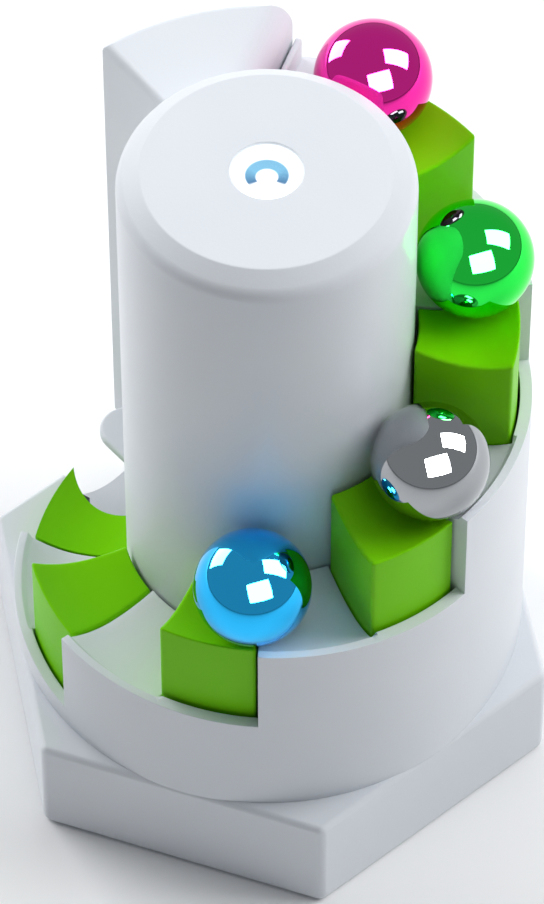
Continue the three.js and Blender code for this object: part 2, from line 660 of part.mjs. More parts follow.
for (const item of MARBLES) node(item.name, marble(item), item.finish);

export default marbleRun;
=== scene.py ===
"""Looks of the marble run: a powered spiral stair on a hexagonal tile, with four bright marbles.

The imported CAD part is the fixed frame. Every piece here is made in metres in that frame, rides on a
CAD body, and stands for the CAD node that it details. Angles are degrees about +Z.
"""

import json
import logging
import math
from dataclasses import dataclass, field
from enum import Enum
from typing import Callable, Iterable, Sequence

import bmesh
import bpy
from mathutils import Matrix, Vector

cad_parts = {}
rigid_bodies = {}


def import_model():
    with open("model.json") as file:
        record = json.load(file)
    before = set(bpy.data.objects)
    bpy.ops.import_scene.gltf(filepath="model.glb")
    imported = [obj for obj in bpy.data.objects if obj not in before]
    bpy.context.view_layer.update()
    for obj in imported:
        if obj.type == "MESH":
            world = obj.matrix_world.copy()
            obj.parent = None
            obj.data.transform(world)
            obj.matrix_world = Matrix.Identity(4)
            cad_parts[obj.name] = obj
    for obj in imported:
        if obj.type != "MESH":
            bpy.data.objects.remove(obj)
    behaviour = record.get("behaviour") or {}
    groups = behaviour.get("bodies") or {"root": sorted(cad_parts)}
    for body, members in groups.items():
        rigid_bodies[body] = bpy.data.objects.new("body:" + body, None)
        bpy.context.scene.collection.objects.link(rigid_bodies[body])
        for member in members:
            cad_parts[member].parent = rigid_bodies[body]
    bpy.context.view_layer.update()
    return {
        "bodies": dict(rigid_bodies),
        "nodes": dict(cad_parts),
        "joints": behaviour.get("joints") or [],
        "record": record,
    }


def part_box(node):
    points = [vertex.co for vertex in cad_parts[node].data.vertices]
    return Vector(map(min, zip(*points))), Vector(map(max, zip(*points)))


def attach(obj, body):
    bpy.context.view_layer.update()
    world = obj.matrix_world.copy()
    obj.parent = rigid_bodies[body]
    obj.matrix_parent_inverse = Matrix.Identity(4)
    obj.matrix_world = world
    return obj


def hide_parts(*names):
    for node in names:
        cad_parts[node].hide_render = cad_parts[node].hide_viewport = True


LOG = logging.getLogger("marble_run")

MM = 0.001
HEIGHT_RULE = Callable[[float, float], float]


class BooleanKind(Enum):
    """How one solid meets another."""

    JOIN = "UNION"
    CUT = "DIFFERENCE"
    KEEP_SHARED = "INTERSECT"


# ---------------------------------------------------------------- shared geometry helpers


def polar(radius: float, degrees: float, height: float = 0.0) -> Vector:
    """Point at a radius and an angle about the Z axis.

    Args:
        radius: Distance from the axis.
        degrees: Angle from +X, counter-clockwise seen from above.
        height: Z of the point.

    Returns:
        The point in the part's frame.
    """
    angle = math.radians(degrees)
    return Vector((radius * math.cos(angle), radius * math.sin(angle), height))


def even_steps(start: float, end: float, pitch: float) -> list[float]:
    """Values from start to end, at equal steps no longer than pitch.

    Args:
        start: First value.
        end: Last value.
        pitch: Longest step.

    Returns:
        The values, with both ends.
    """
    count = max(1, math.ceil((end - start) / pitch - 1e-6))
    return [start + (end - start) * i / count for i in range(count + 1)]


def placed(name: str, mesh: bpy.types.Mesh) -> bpy.types.Object:
    """Object at the origin that carries a mesh.

    Args:
        name: Name of the new object and its mesh.
        mesh: The mesh, in the part's frame.

    Returns:
        The object, linked to the scene.
    """
    mesh.name = name
    made = bpy.data.objects.new(name, mesh)
    bpy.context.scene.collection.objects.link(made)
    return made


def from_bmesh(name: str, shape: bmesh.types.BMesh) -> bpy.types.Object:
    """Turns a bmesh into an object with its faces outwards.

    Args:
        name: Name of the new object.
        shape: The closed shape, which is freed.

    Returns:
        The object.
    """
    bmesh.ops.recalc_face_normals(shape, faces=shape.faces)
    mesh = bpy.data.meshes.new(name)
    shape.to_mesh(mesh)
    shape.free()
    return placed(name, mesh)


def applied(piece: bpy.types.Object) -> bpy.types.Object:
    """Replaces a piece's mesh by its evaluated one and removes its modifiers.

    Args:
        piece: An object with live modifiers.

    Returns:
        The same object.
    """
    graph = bpy.context.evaluated_depsgraph_get()
    graph.update()
    made = bpy.data.meshes.new_from_object(piece.evaluated_get(graph))
    made.name = piece.name
    piece.modifiers.clear()
    spare = piece.data
    piece.data = made
    bpy.data.meshes.remove(spare)
    return piece


def rounded(
    piece: bpy.types.Object, width: float, segments: int = 3, limit: float = 40.0
) -> bpy.types.Object:
    """Rounds every edge sharper than a limit.

    Args:
        piece: The solid.
        width: Width of the rounding.
        segments: Facets over the rounding.
        limit: Smallest angle in degrees that counts as an edge.

    Returns:
        The same object.
    """
    bevel = piece.modifiers.new("rounding", "BEVEL")
    bevel.width = width
    bevel.segments = segments
    bevel.limit_method = "ANGLE"
    bevel.angle_limit = math.radians(limit)
    bevel.use_clamp_overlap = True
    bevel.miter_outer = "MITER_SHARP"
    return applied(piece)


def combined(
    piece: bpy.types.Object, other: bpy.types.Object, kind: BooleanKind
) -> bpy.types.Object:
    """Joins, cuts or intersects a solid with another, which is used up.

    Args:
        piece: The solid that stays.
        other: The solid that is used up.
        kind: What to do with it.

    Returns:
        The first object.
    """
    boolean = piece.modifiers.new("boolean", "BOOLEAN")
    boolean.operation = kind.value
    boolean.object = other
    boolean.solver = "MANIFOLD"
    applied(piece)
    spare = other.data
    bpy.data.objects.remove(other)
    bpy.data.meshes.remove(spare)
    return piece


def smoothed(piece: bpy.types.Object, limit: float = 33.0) -> bpy.types.Object:
    """Shades a piece smooth up to a limit, with flat faces kept flat.

    Args:
        piece: The finished solid.
        limit: Angle in degrees past which an edge stays crisp.

    Returns:
        The same object.
    """
    shape = bmesh.new()
    shape.from_mesh(piece.data)
    bmesh.ops.remove_doubles(shape, verts=shape.verts, dist=1e-7)
    shape.to_mesh(piece.data)
    shape.free()
    piece.data.shade_smooth()
    piece.data.set_sharp_from_angle(angle=math.radians(limit))
    weighted = piece.modifiers.new("weighted", "WEIGHTED_NORMAL")
    weighted.keep_sharp = True
    weighted.weight = 50
    return applied(piece)


def plan_solid(
    name: str,
    radii: Sequence[float],
    angles: Sequence[float],
    top: HEIGHT_RULE,
    bottom: HEIGHT_RULE,
    keep: Callable[[float, float], bool] = lambda radius, degrees: True,
) -> bpy.types.Object:
    """Closed solid over the kept cells of a polar grid.

    Args:
        name: Name of the new object.
        radii: Grid lines along the radius.
        angles: Grid lines round the axis, in degrees.
        top: Height of the top over (radius, degrees).
        bottom: Height of the underside over (radius, degrees).
        keep: Tells from a cell's middle whether it is part of the solid.

    Returns:
        The object.
    """
    shape = bmesh.new()
    corners: dict[tuple[int, int, int], bmesh.types.BMVert] = {}

    def corner(level: int, i: int, j: int) -> bmesh.types.BMVert:
        """Vertex of the grid, made when it is first asked for.

        Args:
            level: 0 for the underside and 1 for the top.
            i: Grid line along the radius.
            j: Grid line round the axis.

        Returns:
            The vertex.
        """
        key = (level, i, j)
        if key not in corners:
            rule = top if level else bottom
            corners[key] = shape.verts.new(
                polar(radii[i], angles[j], rule(radii[i], angles[j]))
            )
        return corners[key]

    def kept(i: int, j: int) -> bool:
        """Whether the cell is inside the grid and part of the solid.

        Args:
            i: Grid line along the radius.
            j: Grid line round the axis.

        Returns:
            True where the solid is.
        """
        if not (0 <= i < len(radii) - 1 and 0 <= j < len(angles) - 1):
            return False
        return keep((radii[i] + radii[i + 1]) / 2, (angles[j] + angles[j + 1]) / 2)

    for i in range(len(radii) - 1):
        for j in range(len(angles) - 1):
            if not kept(i, j):
                continue
            loop = [(i, j), (i + 1, j), (i + 1, j + 1), (i, j + 1)]
            shape.faces.new([corner(1, *p) for p in loop])
            shape.faces.new([corner(0, *p) for p in reversed(loop)])
            sides = [
                ((i, j - 1), loop[0], loop[1]),
                ((i + 1, j), loop[1], loop[2]),
                ((i, j + 1), loop[2], loop[3]),
                ((i - 1, j), loop[3], loop[0]),
            ]
            for neighbour, first, last in sides:
                if not kept(*neighbour):
                    wall = [
                        corner(0, *first),
                        corner(0, *last),
                        corner(1, *last),
                        corner(1, *first),
                    ]
                    shape.faces.new(wall)
    return from_bmesh(name, shape)


def lofted(name: str, loops: Sequence[Sequence[Vector]]) -> bpy.types.Object:
    """Closed solid through a stack of loops with equal counts, capped at both ends.

    Args:
        name: Name of the new object.
        loops: The loops, from the lowest to the highest.

    Returns:
        The object.
    """
    shape = bmesh.new()
    rings = [[shape.verts.new(point) for point in loop] for loop in loops]
    count = len(rings[0])
    for low, high in zip(rings, rings[1:]):
        for i in range(count):
            n = (i + 1) % count
            shape.faces.new((low[i], low[n], high[n], high[i]))
    shape.faces.new(list(reversed(rings[0])))
    shape.faces.new(rings[-1])
    return from_bmesh(name, shape)


def prism(
    name: str, outline: Sequence[tuple[float, float]], bottom: float, top: float
) -> bpy.types.Object:
    """Straight prism over an outline.

    Args:
        name: Name of the new object.
        outline: Corners in plan.
        bottom: Height of the underside.
        top: Height of the top.

    Returns:
        The object.
    """
    loops = [[Vector((x, y, height)) for x, y in outline] for height in (bottom, top)]
    return lofted(name, loops)


def box_solid(name: str, low: Sequence[float], high: Sequence[float]) -> bpy.types.Object:
    """Upright box between two corners.

    Args:
        name: Name of the new object.
        low: Lowest corner.
        high: Highest corner.

    Returns:
        The object.
    """
    outline = [(low[0], low[1]), (high[0], low[1]), (high[0], high[1]), (low[0], high[1])]
    return prism(name, outline, low[2], high[2])


def turned(
    name: str, profile: Sequence[tuple[float, float]], segments: int = 128
) -> bpy.types.Object:
    """Solid of revolution about the Z axis.

    Args:
        name: Name of the new object.
        profile: (radius, height) points. They start and end on the axis, or the last joins the first.
        segments: Facets round the axis.

    Returns:
        The object.
    """
    shape = bmesh.new()
    rings = []
    for radius, height in profile:
        if radius < 1e-9:
            rings.append([shape.verts.new((0, 0, height))] * segments)
        else:
            rings.append(
                [shape.verts.new(polar(radius, 360 * i / segments, height)) for i in range(segments)]
            )
    closed = profile[0][0] > 1e-9
    pairs = list(zip(rings, rings[1:] + (rings[:1] if closed else [])))
    for low, high in pairs if closed else pairs[: len(rings) - 1]:
        for i in range(segments):
            n = (i + 1) % segments
            loop = list(dict.fromkeys((low[i], low[n], high[n], high[i])))
            if len(loop) > 2:
                shape.faces.new(loop)
    return from_bmesh(name, shape)


def rod(
    name: str, start: Vector, end: Vector, radius: float, segments: int = 96
) -> bpy.types.Object:
    """Round bar between two points.

    Args:
        name: Name of the new object.
        start: Middle of one end.
        end: Middle of the other end.
        radius: Radius of the bar.
        segments: Facets round it.

    Returns:
        The object.
    """
    axis = end - start
    shape = bmesh.new()
    place = Matrix.Translation((start + end) / 2) @ axis.to_track_quat("Z", "Y").to_matrix().to_4x4()
    bmesh.ops.create_cone(
        shape,
        cap_ends=True,
        segments=segments,
        radius1=radius,
        radius2=radius,
        depth=axis.length,
        matrix=place,
    )
    return from_bmesh(name, shape)


def spun(piece: bpy.types.Object, degrees: float) -> bpy.types.Object:
    """Turns a piece's mesh about the Z axis, and leaves its object where it is.

    Args:
        piece: The object.
        degrees: Angle to turn by.

    Returns:
        The same object.
    """
    piece.data.transform(Matrix.Rotation(math.radians(degrees), 4, "Z"))
    return piece


def dressed(
    piece: bpy.types.Object,
    finish: "Finish",
    body: str,
    nodes: Iterable[str] = (),
) -> bpy.types.Object:
    """Gives a finished piece its material and body, and hides the CAD nodes that it stands for.

    Args:
        piece: The finished object.
        finish: Its finish.
        body: The CAD body that it rides on.
        nodes: The CAD nodes that it stands for.

    Returns:
        The same object.
    """
    piece.data.materials.clear()
    piece.data.materials.append(finish.material())
    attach(piece, body)
    if nodes:
        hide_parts(*nodes)
    LOG.info("%s rides on %s with %d faces", piece.name, body, len(piece.data.polygons))
    return piece


# ---------------------------------------------------------------- shared shader effects


class NodeGroup:
    """A shader node group that is built once and used in many materials."""

    name = "group"

    def inputs(self) -> list[tuple[str, str, float]]:
        """Names, socket types and defaults of the inputs."""
        raise NotImplementedError

    def outputs(self) -> list[tuple[str, str]]:
        """Names and socket types of the outputs."""
        raise NotImplementedError

    def wire(self, tree: bpy.types.NodeTree, start: bpy.types.Node, end: bpy.types.Node) -> None:
        """Builds the inside of the group."""
        raise NotImplementedError

    def tree(self) -> bpy.types.NodeTree:
        """The group's tree, built when it is first asked for.

        Returns:
            The group's tree.
        """
        found = bpy.data.node_groups.get(self.name)
        if found:
            return found
        tree = bpy.data.node_groups.new(self.name, "ShaderNodeTree")
        for name, kind, default in self.inputs():
            socket = tree.interface.new_socket(name, in_out="INPUT", socket_type=kind)
            if kind == "NodeSocketFloat":
                socket.default_value = default
        for name, kind in self.outputs():
            tree.interface.new_socket(name, in_out="OUTPUT", socket_type=kind)
        start = tree.nodes.new("NodeGroupInput")
        end = tree.nodes.new("NodeGroupOutput")
        self.wire(tree, start, end)
        return tree


def noise_node(
    tree: bpy.types.NodeTree, vector: bpy.types.NodeSocket, detail: float
) -> bpy.types.Node:
    """Noise texture on a vector.

    Args:
        tree: Tree to build in.
        vector: Socket that gives the place.
        detail: Octaves of the noise.

    Returns:
        The noise node.
    """
    node = tree.nodes.new("ShaderNodeTexNoise")
    node.inputs["Detail"].default_value = detail
    node.inputs["Roughness"].default_value = 0.55
    tree.links.new(vector, node.inputs["Vector"])
    return node


def math_node(
    tree: bpy.types.NodeTree,
    operation: str,
    first: bpy.types.NodeSocket | float,
    second: bpy.types.NodeSocket | float = 0.0,
    third: bpy.types.NodeSocket | float = 0.0,
) -> bpy.types.NodeSocket:
    """Math node on sockets or plain numbers.

    Args:
        tree: Tree to build in.
        operation: The node's operation.
        first: First operand.
        second: Second operand.
        third: Third operand.

    Returns:
        The result's socket.
    """
    node = tree.nodes.new("ShaderNodeMath")
    node.operation = operation
    for i, operand in enumerate((first, second, third)):
        if isinstance(operand, bpy.types.NodeSocket):
            tree.links.new(operand, node.inputs[i])
        else:
            node.inputs[i].default_value = operand
    return node.outputs[0]


class MouldedGrain(NodeGroup):
    """Fine spark-eroded grain of a moulding, as a height and a change of roughness."""

    name = "moulded_grain"

    def inputs(self) -> list[tuple[str, str, float]]:
        """Place, grains per metre, and share of coarse orange peel.

        Returns:
            One (name, socket type, default) for each input.
        """
        return [
            ("Vector", "NodeSocketVector", 0.0),
            ("Scale", "NodeSocketFloat", 3000.0),
            ("Peel", "NodeSocketFloat", 0.3),
        ]

    def outputs(self) -> list[tuple[str, str]]:
        """Height and roughness shift."""
        return [("Height", "NodeSocketFloat"), ("Roughness Shift", "NodeSocketFloat")]

    def wire(self, tree: bpy.types.NodeTree, start: bpy.types.Node, end: bpy.types.Node) -> None:
        """Fine noise over a slow swell.

        Args:
            tree: Tree to build in.
            start: The group's input node.
            end: The group's output node.
        """
        fine = noise_node(tree, start.outputs["Vector"], 3)
        tree.links.new(start.outputs["Scale"], fine.inputs["Scale"])
        swell = noise_node(tree, start.outputs["Vector"], 1)
        slow = math_node(tree, "MULTIPLY", start.outputs["Scale"], 0.12)
        tree.links.new(slow, swell.inputs["Scale"])
        height = math_node(
            tree, "MULTIPLY_ADD", swell.outputs["Fac"], start.outputs["Peel"], fine.outputs["Fac"]
        )
        tree.links.new(height, end.inputs["Height"])
        shift = math_node(tree, "MULTIPLY_ADD", fine.outputs["Fac"], 0.08, -0.04)
        tree.links.new(shift, end.inputs["Roughness Shift"])


class ToneDrift(NodeGroup):
    """Slow change of tone over a surface, from the pigment and the flow of the plastic."""

    name = "tone_drift"

    def inputs(self) -> list[tuple[str, str, float]]:
        """Place, two tones and the drift's scale per metre.

        Returns:
            One (name, socket type, default) for each input.
        """
        return [
            ("Vector", "NodeSocketVector", 0.0),
            ("Light Tone", "NodeSocketColor", 0.0),
            ("Dark Tone", "NodeSocketColor", 0.0),
            ("Scale", "NodeSocketFloat", 40.0),
        ]

    def outputs(self) -> list[tuple[str, str]]:
        """Colour."""
        return [("Color", "NodeSocketColor")]

    def wire(self, tree: bpy.types.NodeTree, start: bpy.types.Node, end: bpy.types.Node) -> None:
        """Broad noise between the two tones.

        Args:
            tree: Tree to build in.
            start: The group's input node.
            end: The group's output node.
        """
        broad = noise_node(tree, start.outputs["Vector"], 2)
        tree.links.new(start.outputs["Scale"], broad.inputs["Scale"])
        share = tree.nodes.new("ShaderNodeMapRange")
        share.inputs["From Min"].default_value = 0.3
        share.inputs["From Max"].default_value = 0.7
        tree.links.new(broad.outputs["Fac"], share.inputs["Value"])
        mix = tree.nodes.new("ShaderNodeMix")
        mix.data_type = "RGBA"
        tree.links.new(share.outputs["Result"], mix.inputs["Factor"])
        tree.links.new(start.outputs["Light Tone"], mix.inputs["A"])
        tree.links.new(start.outputs["Dark Tone"], mix.inputs["B"])
        tree.links.new(mix.outputs["Result"], end.inputs["Color"])


class HandlingMarks(NodeGroup):
    """Faint smears and fine rubs that change how sharp a reflection is."""

    name = "handling_marks"

    def inputs(self) -> list[tuple[str, str, float]]:
        """Place, marks per metre, roughness of clean surface and amount of marks.

        Returns:
            One (name, socket type, default) for each input.
        """
        return [
            ("Vector", "NodeSocketVector", 0.0),
            ("Scale", "NodeSocketFloat", 120.0),
            ("Clean", "NodeSocketFloat", 0.4),
            ("Amount", "NodeSocketFloat", 0.05),
        ]

    def outputs(self) -> list[tuple[str, str]]:
        """Roughness."""
        return [("Roughness", "NodeSocketFloat")]

    def wire(self, tree: bpy.types.NodeTree, start: bpy.types.Node, end: bpy.types.Node) -> None:
        """Noise with soft thresholds added to the clean roughness.

        Args:
            tree: Tree to build in.
            start: The group's input node.
            end: The group's output node.
        """
        smear = noise_node(tree, start.outputs["Vector"], 4)
        tree.links.new(start.outputs["Scale"], smear.inputs["Scale"])
        level = tree.nodes.new("ShaderNodeMapRange")
        level.inputs["From Min"].default_value = 0.42
        level.inputs["From Max"].default_value = 0.72
        tree.links.new(smear.outputs["Fac"], level.inputs["Value"])
        roughness = math_node(
            tree,
            "MULTIPLY_ADD",
            level.outputs["Result"],
            start.outputs["Amount"],
            start.outputs["Clean"],
        )
        tree.links.new(roughness, end.inputs["Roughness"])


# ---------------------------------------------------------------- finishes

Tone = tuple[float, float, float]


@dataclass(frozen=True)
class Finish:
    """What every finish has: a name, two tones and the shader's plain numbers."""

    name: str
    light: Tone
    dark: Tone
    roughness: float = 0.42
    marks: float = 0.05
    grain_scale: float = 3200.0
    grain_depth: float = 0.00001
    peel: float = 0.5
    grain_shift: float = 1.0
    metallic: float = 0.0
    ior: float = 1.5

    def shader(self, material: bpy.types.Material) -> bpy.types.Node:
        """Principled shader with the finish's plain numbers.

        Args:
            material: The new material, with its nodes.

        Returns:
            The shader.
        """
        shader = next(n for n in material.node_tree.nodes if n.type == "BSDF_PRINCIPLED")
        shader.inputs["Metallic"].default_value = self.metallic
        shader.inputs["IOR"].default_value = self.ior
        return shader

    def group(self, tree: bpy.types.NodeTree, effect: NodeGroup) -> bpy.types.Node:
        """Places a shared effect, read at the object's own coordinates.

        Args:
            tree: Tree to build in.
            effect: The shared effect to place.

        Returns:
            The placed group node.
        """
        node = tree.nodes.new("ShaderNodeGroup")
        node.node_tree = effect.tree()
        place = next((n for n in tree.nodes if n.type == "TEX_COORD"), None)
        place = place or tree.nodes.new("ShaderNodeTexCoord")
        tree.links.new(place.outputs["Object"], node.inputs["Vector"])
        return node

    def colour(self, tree: bpy.types.NodeTree, shader: bpy.types.Node) -> None:
        """Links the drifting tone to the base colour.

        Args:
            tree: Tree to build in.
            shader: The material's Principled shader.
        """
        drift = self.group(tree, ToneDrift())
        drift.inputs["Light Tone"].default_value = (*self.light, 1.0)
        drift.inputs["Dark Tone"].default_value = (*self.dark, 1.0)
        tree.links.new(drift.outputs["Color"], shader.inputs["Base Color"])

    def surface(self, tree: bpy.types.NodeTree, shader: bpy.types.Node) -> None:
        """Links the roughness and the grain's bump.

        Args:
            tree: Tree to build in.
            shader: The material's Principled shader.
        """
        marks = self.group(tree, HandlingMarks())
        marks.inputs["Clean"].default_value = self.roughness
        marks.inputs["Amount"].default_value = self.marks
        grain = self.group(tree, MouldedGrain())
        grain.inputs["Scale"].default_value = self.grain_scale
        grain.inputs["Peel"].default_value = self.peel
        roughness = math_node(
            tree,
            "MULTIPLY_ADD",
            grain.outputs["Roughness Shift"],
            self.grain_shift,
            marks.outputs["Roughness"],
        )
        tree.links.new(roughness, shader.inputs["Roughness"])
        bump = tree.nodes.new("ShaderNodeBump")
        bump.inputs["Distance"].default_value = self.grain_depth
        tree.links.new(grain.outputs["Height"], bump.inputs["Height"])
        tree.links.new(bump.outputs["Normal"], shader.inputs["Normal"])

    def extra(self, tree: bpy.types.NodeTree, shader: bpy.types.Node) -> None:
        """What only one kind of finish has."""

    def material(self) -> bpy.types.Material:
        """The finish's material, built when it is first asked for.

        Returns:
            The material.
        """
        label = f"{self.name}_finish"
        found = bpy.data.materials.get(label)
        if found:
            return found
        material = bpy.data.materials.new(label)
        material.use_nodes = True
        shader = self.shader(material)
        tree = material.node_tree
        self.colour(tree, shader)
        self.surface(tree, shader)
        self.extra(tree, shader)
        return material


@dataclass(frozen=True)
class MouldedPlastic(Finish):
    """Opaque moulded plastic that lets a little light into itself."""

    depth: float = 0.0
    depth_tint: Tone = (1.0, 1.0, 1.0)

    def shader(self, material: bpy.types.Material) -> bpy.types.Node:
        """Principled shader with a little light under the skin.

        Args:
            material: The new material, with its nodes.

        Returns:
            The shader.
        """
        shader = super().shader(material)
        shader.inputs["Subsurface Weight"].default_value = self.depth
        shader.inputs["Subsurface Scale"].default_value = 0.6 * MM
        shader.inputs["Subsurface Radius"].default_value = self.depth_tint
        return shader


@dataclass(frozen=True)
class PolishedMetal(Finish):
    """Mirror-bright coloured metal."""

    metallic: float = 1.0
    roughness: float = 0.004
    marks: float = 0.012
    grain_scale: float = 9000.0
    grain_depth: float = 0.0
    grain_shift: float = 0.0


@dataclass(frozen=True)
class LitButton(Finish):
    """Translucent button cap, lit from below, with a blue arch of painted shade that stands for the
    dimple's far wall.
    """

    # Where the painted shade's arch lies: it is turned to the side away from the camera.
    painted_shade_facing: float = 109.8
    painted_shade_offset: float = 0.55 * MM
    painted_shade_radius: float = 1.72 * MM
    painted_shade_half_width: float = 0.62 * MM
    painted_shade_reach: float = 128.0
    glow: float = 1.0

    def extra(self, tree: bpy.types.NodeTree, shader: bpy.types.Node) -> None:
        """Glow over the whole cap, with painted shade in a blue arch on the side away from the camera,
        where the dimple's far wall would be in shade.

        Args:
            tree: Tree to build in.
            shader: The material's Principled shader.
        """
        # The arch is painted shade, put into the emission and base colour with the rest of the cap.
        place = next(n for n in tree.nodes if n.type == "TEX_COORD")
        turn = tree.nodes.new("ShaderNodeMapping")
        turn.vector_type = "POINT"
        turn.inputs["Location"].default_value = (self.painted_shade_offset, 0, 0)
        turn.inputs["Rotation"].default_value = (0, 0, math.radians(-self.painted_shade_facing))
        tree.links.new(place.outputs["Object"], turn.inputs["Vector"])
        split = tree.nodes.new("ShaderNodeSeparateXYZ")
        tree.links.new(turn.outputs["Vector"], split.inputs["Vector"])
        squares = math_node(tree, "MULTIPLY", split.outputs["X"], split.outputs["X"])
        squares = math_node(tree, "MULTIPLY_ADD", split.outputs["Y"], split.outputs["Y"], squares)
        radius = math_node(tree, "SQRT", squares)
        off = math_node(tree, "ABSOLUTE", math_node(tree, "SUBTRACT", radius, self.painted_shade_radius))
        ring = tree.nodes.new("ShaderNodeMapRange")
        ring.interpolation_type = "SMOOTHSTEP"
        ring.inputs["From Min"].default_value = self.painted_shade_half_width * 0.7
        ring.inputs["From Max"].default_value = self.painted_shade_half_width * 1.25
        ring.inputs["To Min"].default_value = 1.0
        ring.inputs["To Max"].default_value = 0.0
        tree.links.new(off, ring.inputs["Value"])
        angle = math_node(
            tree, "ABSOLUTE", math_node(tree, "ARCTAN2", split.outputs["Y"], split.outputs["X"])
        )
        reach = tree.nodes.new("ShaderNodeMapRange")
        reach.interpolation_type = "SMOOTHSTEP"
        reach.inputs["From Min"].default_value = math.radians(self.painted_shade_reach - 10)
        reach.inputs["From Max"].default_value = math.radians(self.painted_shade_reach + 10)
        reach.inputs["To Min"].default_value = 1.0
        reach.inputs["To Max"].default_value = 0.0
        tree.links.new(angle, reach.inputs["Value"])
        arch = math_node(tree, "MULTIPLY", ring.outputs["Result"], reach.outputs["Result"])
        # Painted shade: lighter blue at the arch's top, darker toward its ends.
        painted_shade_ramp = tree.nodes.new("ShaderNodeValToRGB")
        painted_shade_ramp.color_ramp.elements[0].position = 0.0
        painted_shade_ramp.color_ramp.elements[0].color = (0.12, 0.29, 0.42, 1.0)
        painted_shade_ramp.color_ramp.elements[1].position = 1.0
        painted_shade_ramp.color_ramp.elements[1].color = (0.03, 0.085, 0.18, 1.0)
        low = tree.nodes.new("ShaderNodeMapRange")
        low.inputs["From Min"].default_value = math.radians(60)
        low.inputs["From Max"].default_value = math.radians(self.painted_shade_reach)
        tree.links.new(angle, low.inputs["Value"])
        tree.links.new(low.outputs["Result"], painted_shade_ramp.inputs["Fac"])
        mix = tree.nodes.new("ShaderNodeMix")
        mix.data_type = "RGBA"
        mix.inputs["A"].default_value = (0.95, 0.99, 1.0, 1.0)
        tree.links.new(arch, mix.inputs["Factor"])
        tree.links.new(painted_shade_ramp.outputs["Color"], mix.inputs["B"])
        tree.links.new(mix.outputs["Result"], shader.inputs["Emission Color"])
        tree.links.new(mix.outputs["Result"], shader.inputs["Base Color"])
        shader.inputs["Emission Strength"].default_value = self.glow


@dataclass(frozen=True)
class BandedCell(Finish):
    """Battery wrap with a dark band at one end."""

    band_height: float = 58 * MM
    band_tone: Tone = (0.02, 0.02, 0.022)

    def extra(self, tree: bpy.types.NodeTree, shader: bpy.types.Node) -> None:
        """Mixes in the band below its height.

        Args:
            tree: Tree to build in.
            shader: The material's Principled shader.
        """
        place = next(n for n in tree.nodes if n.type == "TEX_COORD")
        split = tree.nodes.new("ShaderNodeSeparateXYZ")
        tree.links.new(place.outputs["Object"], split.inputs["Vector"])
        below = math_node(tree, "LESS_THAN", split.outputs["Z"], self.band_height)
        mix = tree.nodes.new("ShaderNodeMix")
        mix.data_type = "RGBA"
        mix.inputs["B"].default_value = (*self.band_tone, 1.0)
        tree.links.new(below, mix.inputs["Factor"])
        tree.links.new(shader.inputs["Base Color"].links[0].from_socket, mix.inputs["A"])
        tree.links.new(mix.outputs["Result"], shader.inputs["Base Color"])


HOUSING_WHITE = MouldedPlastic(
    "housing_white", light=(0.735, 0.765, 0.805), dark=(0.70, 0.735, 0.78), roughness=0.4, marks=0.06
)
STEP_GREEN = MouldedPlastic(
    "step_green",
    light=(0.195, 0.64, 0.002),
    dark=(0.175, 0.595, 0.001),
    roughness=0.36,
    marks=0.05,
    ior=1.2,
)
COVER_GREY = MouldedPlastic(
    "cover_grey", light=(0.27, 0.295, 0.32), dark=(0.23, 0.255, 0.28), roughness=0.55
)
SCREW_STEEL = Finish(
    "screw_steel", light=(0.50, 0.51, 0.53), dark=(0.40, 0.41, 0.43), roughness=0.28, metallic=1.0
)
GEAR_IVORY = MouldedPlastic("gear_ivory", light=(0.85, 0.80, 0.66), dark=(0.80, 0.74, 0.60), roughness=0.45)
CAM_DARK = MouldedPlastic(
    "cam_dark", light=(0.045, 0.052, 0.062), dark=(0.03, 0.036, 0.045), roughness=0.45
)
MOTOR_CAN = Finish(
    "motor_can", light=(0.56, 0.57, 0.60), dark=(0.48, 0.49, 0.52), roughness=0.3, metallic=1.0, marks=0.12
)
BOARD_GREEN = MouldedPlastic(
    "board_green", light=(0.02, 0.16, 0.05), dark=(0.012, 0.11, 0.035), roughness=0.35
)
DARK_PLASTIC = MouldedPlastic("dark_plastic", light=(0.02, 0.021, 0.024), dark=(0.012, 0.013, 0.015))
CELL_WRAP = BandedCell("cell_wrap", light=(0.62, 0.30, 0.05), dark=(0.55, 0.25, 0.04), roughness=0.3)
CONTACT_METAL = Finish(
    "contact_metal", light=(0.72, 0.66, 0.44), dark=(0.62, 0.57, 0.38), roughness=0.25, metallic=1.0
)
LED_LENS = MouldedPlastic("led_lens", light=(0.72, 0.86, 1.0), dark=(0.62, 0.78, 0.95), roughness=0.15)
BUTTON_WHITE = LitButton("button_white", light=(0.9, 0.95, 1.0), dark=(0.88, 0.93, 1.0), roughness=0.25)
MARBLE_PINK = PolishedMetal("marble_pink_metal", light=(1.0, 0.035, 0.42), dark=(0.94, 0.03, 0.38))
MARBLE_GREEN = PolishedMetal("marble_green_metal", light=(0.03, 0.92, 0.09), dark=(0.026, 0.86, 0.08))
MARBLE_SILVER = PolishedMetal("marble_silver_metal", light=(0.40, 0.415, 0.43), dark=(0.37, 0.385, 0.40))
MARBLE_BLUE = PolishedMetal("marble_blue_metal", light=(0.03, 0.52, 1.0), dark=(0.026, 0.47, 0.94))


# ---------------------------------------------------------------- the stair's rule


